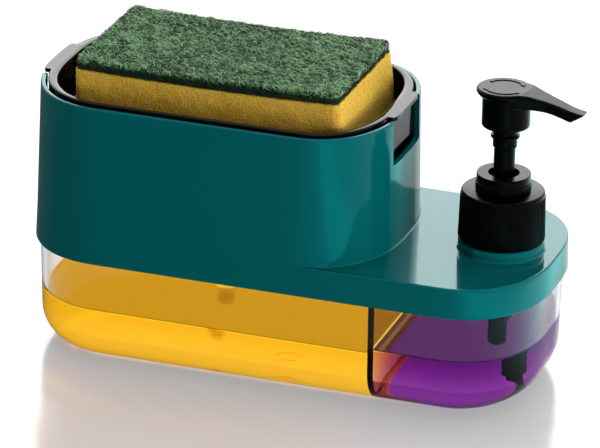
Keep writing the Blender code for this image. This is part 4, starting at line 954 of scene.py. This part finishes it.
yellow_foam, tree, shader = new_material('yellow_foam', (0.80, 0.52, 0.07), 0.95, Specular_IOR_Level=0.10,
                                         Subsurface_Weight=0.5, Subsurface_Scale=0.005)
place = own_place(tree)
cells = add(tree, 'ShaderNodeTexVoronoi', {'Vector': place, 'Scale': 1300.0}, feature='SMOOTH_F1')
pores = mix(tree, 0.55, spread(tree, cells, 0.10, 0.48), speckle(tree, place, 2200.0, 2.0, 0.6), 'FLOAT')
patches = mix(tree, 0.35, pores, speckle(tree, place, 60.0, 3.0), 'FLOAT')
feed(shader, {
    'Base Color': colours_by(tree, patches, (0.25, (0.64, 0.315, 0.020)), (0.68, (0.86, 0.54, 0.080))),
    'Normal': bumped(tree, pores, 0.9, 0.0005)})
finish_piece(foam, yellow_foam, 'sponge', 'foam_yellow', 'sponge_foam')

pad_low = (SPONGE_LEFT + PAD_INSET, -SPONGE_HALF + PAD_INSET, FOAM_TOP + 0.0001)
pad_high = (SPONGE_RIGHT - PAD_INSET, SPONGE_HALF - PAD_INSET, PAD_TOP - 0.0004)
pad = soft_block('scouring_pad_web', pad_low, pad_high, corner=0.0030, edge=0.0009, step=0.0009)
for vert in pad.data.vertices:
    place = vert.co.copy()
    rough = noise.fractal(place * 350, 0.5, 2.2, 4) * 0.00030 + noise.noise(place * 1400) * 0.00012
    vert.co = bowed(place)
    if place.z > FOAM_TOP + 0.0006:
        vert.co += vert.normal * (rough - 0.0001)
pad.data.shade_smooth()


def chance(tree, low, high):
    """Random number between low and high, one for each fibre."""
    return add(tree, 'FunctionNodeRandomValue', {2: low, 3: high}, data_type='FLOAT').outputs[1]


def scouring_fibres(tree, given):
    """Scatters short bent fibres over a surface, turned at random, and keeps the surface itself."""
    web = given['Geometry']
    points = add(tree, 'GeometryNodeDistributePointsOnFaces', {
        'Mesh': web, 'Density': given['Fibres per m2'], 'Seed': given['Seed']})
    start, middle, end = [
        add(tree, 'ShaderNodeCombineXYZ', {axis: maths(tree, 'MULTIPLY', given['Fibre Length'], share)})
        for axis, share in (('X', -0.5), ('Z', 0.45), ('X', 0.5))]
    bend = add(tree, 'GeometryNodeCurveQuadraticBezier', {
        'Resolution': 3, 'Start': start, 'Middle': middle, 'End': end})
    upright = add(tree, 'FunctionNodeAlignRotationToVector', {'Vector': points.outputs['Normal']}, axis='Z')
    angles = add(tree, 'ShaderNodeCombineXYZ', {
        'Y': chance(tree, -0.18, 0.18), 'Z': chance(tree, 0.0, math.tau)})
    turn = add(tree, 'FunctionNodeEulerToRotation', {'Euler': angles})
    fibres = add(tree, 'GeometryNodeInstanceOnPoints', {
        'Points': points, 'Instance': rod(tree, bend, given['Fibre Radius'], 3, closed=False),
        'Rotation': add(tree, 'FunctionNodeRotateRotation', {'Rotation': upright, 'Rotate By': turn},
                        rotation_space='LOCAL'),
        'Scale': chance(tree, 0.5, 1.2)})
    shaded = add(tree, 'GeometryNodeStoreNamedAttribute', domain='INSTANCE', data_type='FLOAT')
    feed(shaded, {'Geometry': fibres, 'Name': 'shade', 'Value': chance(tree, -1.3, 1.6)})
    both = add(tree, 'GeometryNodeJoinGeometry', {'Geometry': shaded})
    feed(both, {'Geometry': web})
    return both


nylon, tree, shader = new_material('green_nylon_web', (0.03, 0.13, 0.07), 0.75, Specular_IOR_Level=0.12)
place = own_place(tree)
strands = speckle(tree, place, 520.0, 3.0, 0.65, 1.5)
matted = mix(tree, 0.25, strands, speckle(tree, place, 120.0, 2.0), 'FLOAT')
web_tint = colours_by(tree, matted, (0.45, (0.002, 0.018, 0.007)), (0.58, (0.17, 0.36, 0.15)))
shade = add(tree, 'ShaderNodeAttribute', attribute_name='shade').outputs['Fac']
# Painted shade: the pad's colour fades to near black down its sides, towards the foam.
painted_shade_by_height = spread(tree, own_axes(tree)['Z'], FOAM_TOP + 0.0016, PAD_TOP - 0.0009, 0.06, 1.0, 'SMOOTHSTEP')
feed(shader, {
    'Base Color': mix(tree, painted_shade_by_height, (0.002, 0.012, 0.005), mix(tree, shade, web_tint, (0.46, 0.66, 0.44))),
    'Normal': bumped(tree, strands, 0.7, 0.0004)})
grow(pad, scouring_fibres, {'Fibres per m2': 600000.0, 'Fibre Length': 0.0022, 'Fibre Radius': 0.00012,
                            'Seed': 4, 'Material': nylon})
finish_piece(pad, nylon, 'sponge', 'pad_green', 'scouring_pad')

# Screw collar of the hand pump: moulded black cap that screws on the neck and clamps the pump's
# flange. Fine upright ribs round its wall give the fingers a grip.

collar = turned('collar_cap', [
    (0.0073, 0.0777), (0.0150, 0.0777), (0.0154, 0.0776), (0.0157, 0.0773), (0.01585, 0.0768),
    (0.01628, 0.0592), (0.0163, 0.0586), (0.0161, 0.0583), (0.0139, 0.0583), (0.0139, 0.0757),
    (0.0073, 0.0757),
], HAND_X, 128)
collar_thread = thread('collar_thread', 0.0141, 0.0129, THREAD_FOOT - THREAD_PITCH / 2)


def collar_ribs(tree, given):
    """Ring of slim upright ribs on a cone, each a straight rod with closed ends."""
    foot, top = [add(tree, 'ShaderNodeCombineXYZ', {'X': given[end + ' Radius'], 'Z': given[end + ' Height']})
                 for end in ('Foot', 'Top')]
    line = add(tree, 'GeometryNodeCurvePrimitiveLine', {'Start': foot, 'End': top})
    share = maths(tree, 'DIVIDE', add(tree, 'GeometryNodeInputIndex'), given['Ribs'])
    angles = add(tree, 'ShaderNodeCombineXYZ', {'Z': maths(tree, 'MULTIPLY', share, math.tau)})
    return add(tree, 'GeometryNodeInstanceOnPoints', {
        'Points': add(tree, 'GeometryNodePoints', {'Count': given['Ribs']}),
        'Instance': rod(tree, line, given['Rib Radius'], 8),
        'Rotation': add(tree, 'FunctionNodeEulerToRotation', {'Euler': angles})})


ribs = to_object('collar_ribs', bmesh.new())
grow(ribs, collar_ribs, {'Ribs': 96, 'Foot Radius': 0.01626, 'Top Radius': 0.01585, 'Foot Height': 0.0590,
                         'Top Height': 0.0757, 'Rib Radius': 0.00026, 'Material': black})
ribs.data.transform(Matrix.Translation((HAND_X, 0, 0)))
shade_over(collar, 50)
shade_over(collar_thread, 50)
for collar_piece in (collar, collar_thread, ribs):
    finish_piece(collar_piece, black, 'collar', 'pump_black', 'pump_collar')

# Pump head: moulded in one, a round thumb plate that runs out into the curved spout, a skirt below
# it, and the socket on the stem, with the lug that locks the head when it is turned down.

HEAD_TOP = 0.1185
PLATE_X = HAND_X - 0.0010
# Each station of the spout: x and height of its top, x and height of its bottom, half its width.
STATIONS = (
    (-0.0020, 0.1185, -0.0020, 0.1150, 0.0086), (0.0030, 0.1185, 0.0032, 0.1142, 0.0086),
    (0.0050, 0.1185, 0.0052, 0.1136, 0.0083), (0.0070, 0.11848, 0.0072, 0.1131, 0.0076),
    (0.0090, 0.1183, 0.0090, 0.1128, 0.0069), (0.0110, 0.1178, 0.0108, 0.1126, 0.0061),
    (0.0130, 0.1172, 0.0126, 0.1124, 0.0055), (0.0150, 0.1167, 0.0144, 0.1121, 0.0049),
    (0.0170, 0.1161, 0.0162, 0.1118, 0.0044), (0.0190, 0.1155, 0.0178, 0.1114, 0.0041),
    (0.0210, 0.1149, 0.0194, 0.1109, 0.0038), (0.0230, 0.1142, 0.0208, 0.1104, 0.0036),
    (0.0250, 0.1135, 0.0222, 0.1099, 0.0034), (0.0280, 0.1128, 0.0238, 0.1092, 0.0032),
    (0.0308, 0.1123, 0.0253, 0.1087, 0.0030),
)


def spout_section(top, bottom, half_width, top_radius=0.0009, bottom_radius=0.0010, steps=5):
    """Section of the spout between two points of the XZ plane: flat sides, rounded corners."""
    height = (top - bottom).length
    up = (top - bottom).normalized()
    low_half = half_width - 0.04 * height
    corners = (
        (half_width, height, top_radius, 0), (-half_width, height, top_radius, 90),
        (-low_half, 0, bottom_radius, 180), (low_half, 0, bottom_radius, 270),
    )
    ring = []
    for across, rise, radius, first in corners:
        centre_y = across - math.copysign(radius, across)
        centre_z = rise - radius if rise else radius
        for step in range(steps + 1):
            angle = math.radians(first + 90 * step / steps)
            y = centre_y + radius * math.cos(angle)
            ring.append(bottom + up * (centre_z + radius * math.sin(angle)) + Vector((0, y, 0)))
    return ring


head = turned('head_plate', [
    (0, HEAD_TOP), (0.0096, HEAD_TOP), (0.0101, 0.1184), (0.0104, 0.1181), (0.01045, 0.1177),
    (0.01045, 0.1170), (0.0102, 0.1165), (0.0090, 0.1152), (0, 0.1152),
], PLATE_X, 96)
skirt = turned('head_skirt', [
    (0, 0.1160), (0.0089, 0.1160), (0.0091, 0.1150), (0.0091, 0.1039), (0.0089, 0.1035), (0.0080, 0.1035),
    (0.0078, 0.1038), (0.0078, 0.1130), (0, 0.1130),
], HAND_X, 96)
spout = loft('head_spout', [
    spout_section(Vector((HAND_X + top_x, 0, top_z)), Vector((HAND_X + low_x, 0, low_z)), half)
    for top_x, top_z, low_x, low_z, half in STATIONS])
cut(head, skirt, spout, operation='UNION')
remesh = head.modifiers.new('skin', 'REMESH')
remesh.mode = 'VOXEL'
remesh.voxel_size = 0.00030
relax = head.modifiers.new('relax', 'SMOOTH')
relax.factor = 0.5
relax.iterations = 4
settle(head)
BORE_HALF_HEIGHT, BORE_HALF_WIDTH = 0.0014, 0.0019
BEND_X = 0.014
BORE_SIDES = 24
bore = []
for x, z in ((0.0002, 0.11385), (0.0120, 0.11440), (0.0170, 0.11370), (0.0230, 0.11190), (0.0285, 0.11060),
             (0.0340, 0.10830)):
    ahead = Vector((0.45, 0, -0.28) if x > BEND_X else (1, 0, -0.02)).normalized()
    upward = Vector((-ahead.z, 0, ahead.x)) * BORE_HALF_HEIGHT
    sideways = Vector((0, BORE_HALF_WIDTH, 0))
    angles = [math.tau * side / BORE_SIDES for side in range(BORE_SIDES)]
    bore.append([Vector((HAND_X + x, 0, z)) + upward * math.cos(angle) + sideways * math.sin(angle)
                 for angle in angles])
cut(head, loft('spout_bore', bore))
shade_over(head, 50)
head.name = 'head_thumb_plate_and_spout'
finish_piece(head, black, 'head', 'pump_black', 'pump_head')

stem_socket = turned('head_stem_socket', [
    (0.0033, 0.0950), (0.0044, 0.0950), (0.0046, 0.0952), (0.0046, 0.0986), (0.0054, 0.0989),
    (0.0055, 0.0991), (0.0055, 0.0997), (0.0054, 0.0999), (0.0046, 0.1002), (0.0046, 0.1135),
    (0.0033, 0.1135), (0.0033, 0.1075),
], HAND_X)
shade_over(stem_socket, 40)
finish_piece(stem_socket, black, 'head', 'pump_black', 'pump_head')

ARROW_RADIUS = 0.0074
ARROW_LOW, ARROW_HIGH = HEAD_TOP - 0.0004, HEAD_TOP + 0.00030
SHAFT_HALF, HEAD_HALF = 0.00042, 0.00115
HEAD_DEGREES = 12


def arc_arrow(name, first, last, steps=24):
    """Embossed double-headed arrow bent round the thumb plate, which shows the way the head turns."""
    outer, inner = [], []
    for step in range(steps + 1):
        share = step / steps
        angle = math.radians(first + (last - first) * share)
        reach = min(share, 1 - share) * abs(last - first)
        width = SHAFT_HALF if reach > HEAD_DEGREES else HEAD_HALF * reach / HEAD_DEGREES
        outer.append((ARROW_RADIUS + width, angle))
        inner.append((ARROW_RADIUS - width, angle))
    outline = [(PLATE_X + r * math.cos(a), r * math.sin(a)) for r, a in outer + inner[::-1]]
    return loft(name, [at(outline, ARROW_LOW), at(outline, ARROW_HIGH)])


for arrow_name, first, last in (('turn_arrow_back', 25, 155), ('turn_arrow_front', 205, 335)):
    arrow = arc_arrow(arrow_name, first, last)
    shade_over(arrow, 30)
    finish_piece(arrow, black, 'head', 'pump_black', 'pump_head')

# Floor: glossy white table top, much larger than the view. The soaps' light is painted on it a little in
# front of the tank; its mirror image is painted dimmer to the left, and it glows as a painted reflector card
# to the right in reflections.

WHITE, BLACK = (1, 1, 1), (0, 0, 0)
floor = block('table_top', (-3, -3, -0.012), (3, 3, -0.0002))
white = bpy.data.materials.new('white_table')
white.use_nodes = True
tree = white.node_tree
tree.nodes.clear()
ray = add(tree, 'ShaderNodeLightPath').outputs
axes = own_axes(tree)
far = add(tree, 'ShaderNodeVectorMath', {0: own_place(tree)}, operation='LENGTH').outputs['Value']
# Painted light: a faint warm and violet cast of the soaps on the table in front of the tank.
painted_soap_light = mix(tree, spread(tree, axes['X'], 0.00, 0.09), (1.12, 0.98, 0.91), (1.06, 1.03, 1.10))
painted_soap_light_mask = maths(tree, 'MULTIPLY', spread(tree, axes['Y'], -0.035, -0.080),
                 spread(tree, far, 0.20, 0.34, 1.0, 0.0, 'SMOOTHSTEP'))
painted_table_light = mix(tree, painted_soap_light_mask, WHITE, painted_soap_light)
lacquer = add(tree, 'ShaderNodeBsdfPrincipled', {
    'Base Color': mix(tree, 1.0, (0.66, 0.66, 0.65), painted_table_light, blend_type='MULTIPLY'),
    'Roughness': 0.16, 'IOR': 2.1})
mirrored = maths(tree, 'SUBTRACT', ray['Is Glossy Ray'], ray['Is Transmission Ray'], use_clamp=True)
# Painted reflection: to reflections only, a band of the table to the right glows bright and teal, as a
# reflector card would.
painted_reflector_band = colours_by(tree, maths(tree, 'DIVIDE', axes['X'], 0.4), (0, BLACK), (0.26, BLACK), (0.36, WHITE),
                  (0.55, WHITE), (0.66, BLACK), (1, BLACK))
painted_reflector_seen = maths(tree, 'MULTIPLY', painted_reflector_band, mirrored)
glow = add(tree, 'ShaderNodeEmission', {
    'Color': mix(tree, painted_reflector_seen, painted_table_light, (0.40, 0.92, 0.90)),
    'Strength': maths(tree, 'MULTIPLY_ADD', painted_reflector_seen, 1.3, 1.0)})
through = maths(tree, 'MAXIMUM', maths(tree, 'MULTIPLY', ray['Is Transmission Ray'], 0.85),
                spread(tree, far, 0.22, 0.45, 0.33, 1.0, 'SMOOTHSTEP'))
seen = mix_shaders(tree, maths(tree, 'MAXIMUM', painted_reflector_seen, through), lacquer, glow)
# Painted shade: to reflections only, the table fades to black towards the left.
painted_reflection_shade = maths(tree, 'MULTIPLY', mirrored, spread(tree, axes['X'], -0.12, 0.15, 0.9, 0.0))
dark = add(tree, 'ShaderNodeEmission', {'Strength': 0.0})
feed(add(tree, 'ShaderNodeOutputMaterial'), {'Surface': mix_shaders(tree, painted_reflection_shade, seen, dark)})
floor.data.materials.append(white)

# Studio light: white backdrop all round for the eye and for reflections, soft boxes above, behind
# and to the right, and little light from the front left, where the lid's long side stays dark.

world = bpy.data.worlds.new('studio')
bpy.context.scene.world = world
world.use_nodes = True
tree = world.node_tree
tree.nodes.clear()
ray = add(tree, 'ShaderNodeLightPath').outputs
direction = add(tree, 'ShaderNodeTexCoord').outputs['Generated']
towards_back = add(tree, 'ShaderNodeVectorMath', {0: direction, 1: (0.25, 0.85, 0.46)},
                   operation='DOT_PRODUCT').outputs['Value']
fill = add(tree, 'ShaderNodeBackground', {
    'Color': WHITE, 'Strength': spread(tree, towards_back, -0.35, 0.75, 0.10, 0.8, 'SMOOTHSTEP')})
backdrop = add(tree, 'ShaderNodeBackground', {'Color': WHITE, 'Strength': 1.0})
looked_at = maths(tree, 'MAXIMUM', ray['Is Glossy Ray'],
                  maths(tree, 'MAXIMUM', ray['Is Camera Ray'], ray['Is Transmission Ray']))
feed(add(tree, 'ShaderNodeOutputWorld'), {'Surface': mix_shaders(tree, looked_at, fill, backdrop)})


def soft_box(name, place, target, size, power, mirrored=True):
    lamp = bpy.data.lights.new(name, 'AREA')
    lamp.shape = 'RECTANGLE'
    lamp.size, lamp.size_y = size
    lamp.energy = power
    holder = bpy.data.objects.new(name, lamp)
    bpy.context.scene.collection.objects.link(holder)
    holder.location = place
    holder.rotation_euler = (Vector(target) - Vector(place)).to_track_quat('-Z', 'Y').to_euler()
    holder.visible_glossy = mirrored


soft_box('top_box', (0.1, 0.3, 1.5), (0, 0, 0.06), (1.2, 1.0), 5.0)
soft_box('right_box', (1.45, -0.60, 0.30), (0, 0, 0.06), (0.7, 0.5), 13.5, mirrored=False)
soft_box('back_box', (-0.25, 1.40, 0.74), (0.02, 0, 0.07), (1.3, 0.75), 9.5)

# Camera and picture: the angle, distance and lens of the photograph, worked out from the object's
# edges in it. It looks down on the long front side from a little to the right.

YAW, PITCH, ROLL = math.radians(18.345), math.radians(22.445), math.radians(1.325)
AIM = Vector((0, 0, 0.0420))
DISTANCE = 1.97104
SHIFT_LEFT, SHIFT_UP = 0.000329, 0.008455
back = Vector((math.sin(YAW) * math.cos(PITCH), -math.cos(YAW) * math.cos(PITCH), math.sin(PITCH)))
level_right = Vector((math.cos(YAW), math.sin(YAW), 0))
level_up = back.cross(level_right)
right = level_right * math.cos(ROLL) + level_up * math.sin(ROLL)
up = level_up * math.cos(ROLL) - level_right * math.sin(ROLL)
spot = back * DISTANCE - right * SHIFT_LEFT + up * SHIFT_UP + AIM
lens = bpy.data.cameras.new('camera')
lens.sensor_fit = 'HORIZONTAL'
lens.sensor_width = 36.0
lens.lens = 309.07
lens.clip_start = 0.1
lens.clip_end = 20.0
camera = bpy.data.objects.new('camera', lens)
bpy.context.scene.collection.objects.link(camera)
camera.matrix_world = Matrix([*zip(right, up, back, spot), (0, 0, 0, 1)])
bpy.context.scene.camera = camera
bpy.context.scene.view_settings.view_transform = 'Standard'
cycles = bpy.context.scene.cycles
cycles.max_bounces = 24
cycles.transmission_bounces = 24
cycles.glossy_bounces = 6
cycles.transparent_max_bounces = 64
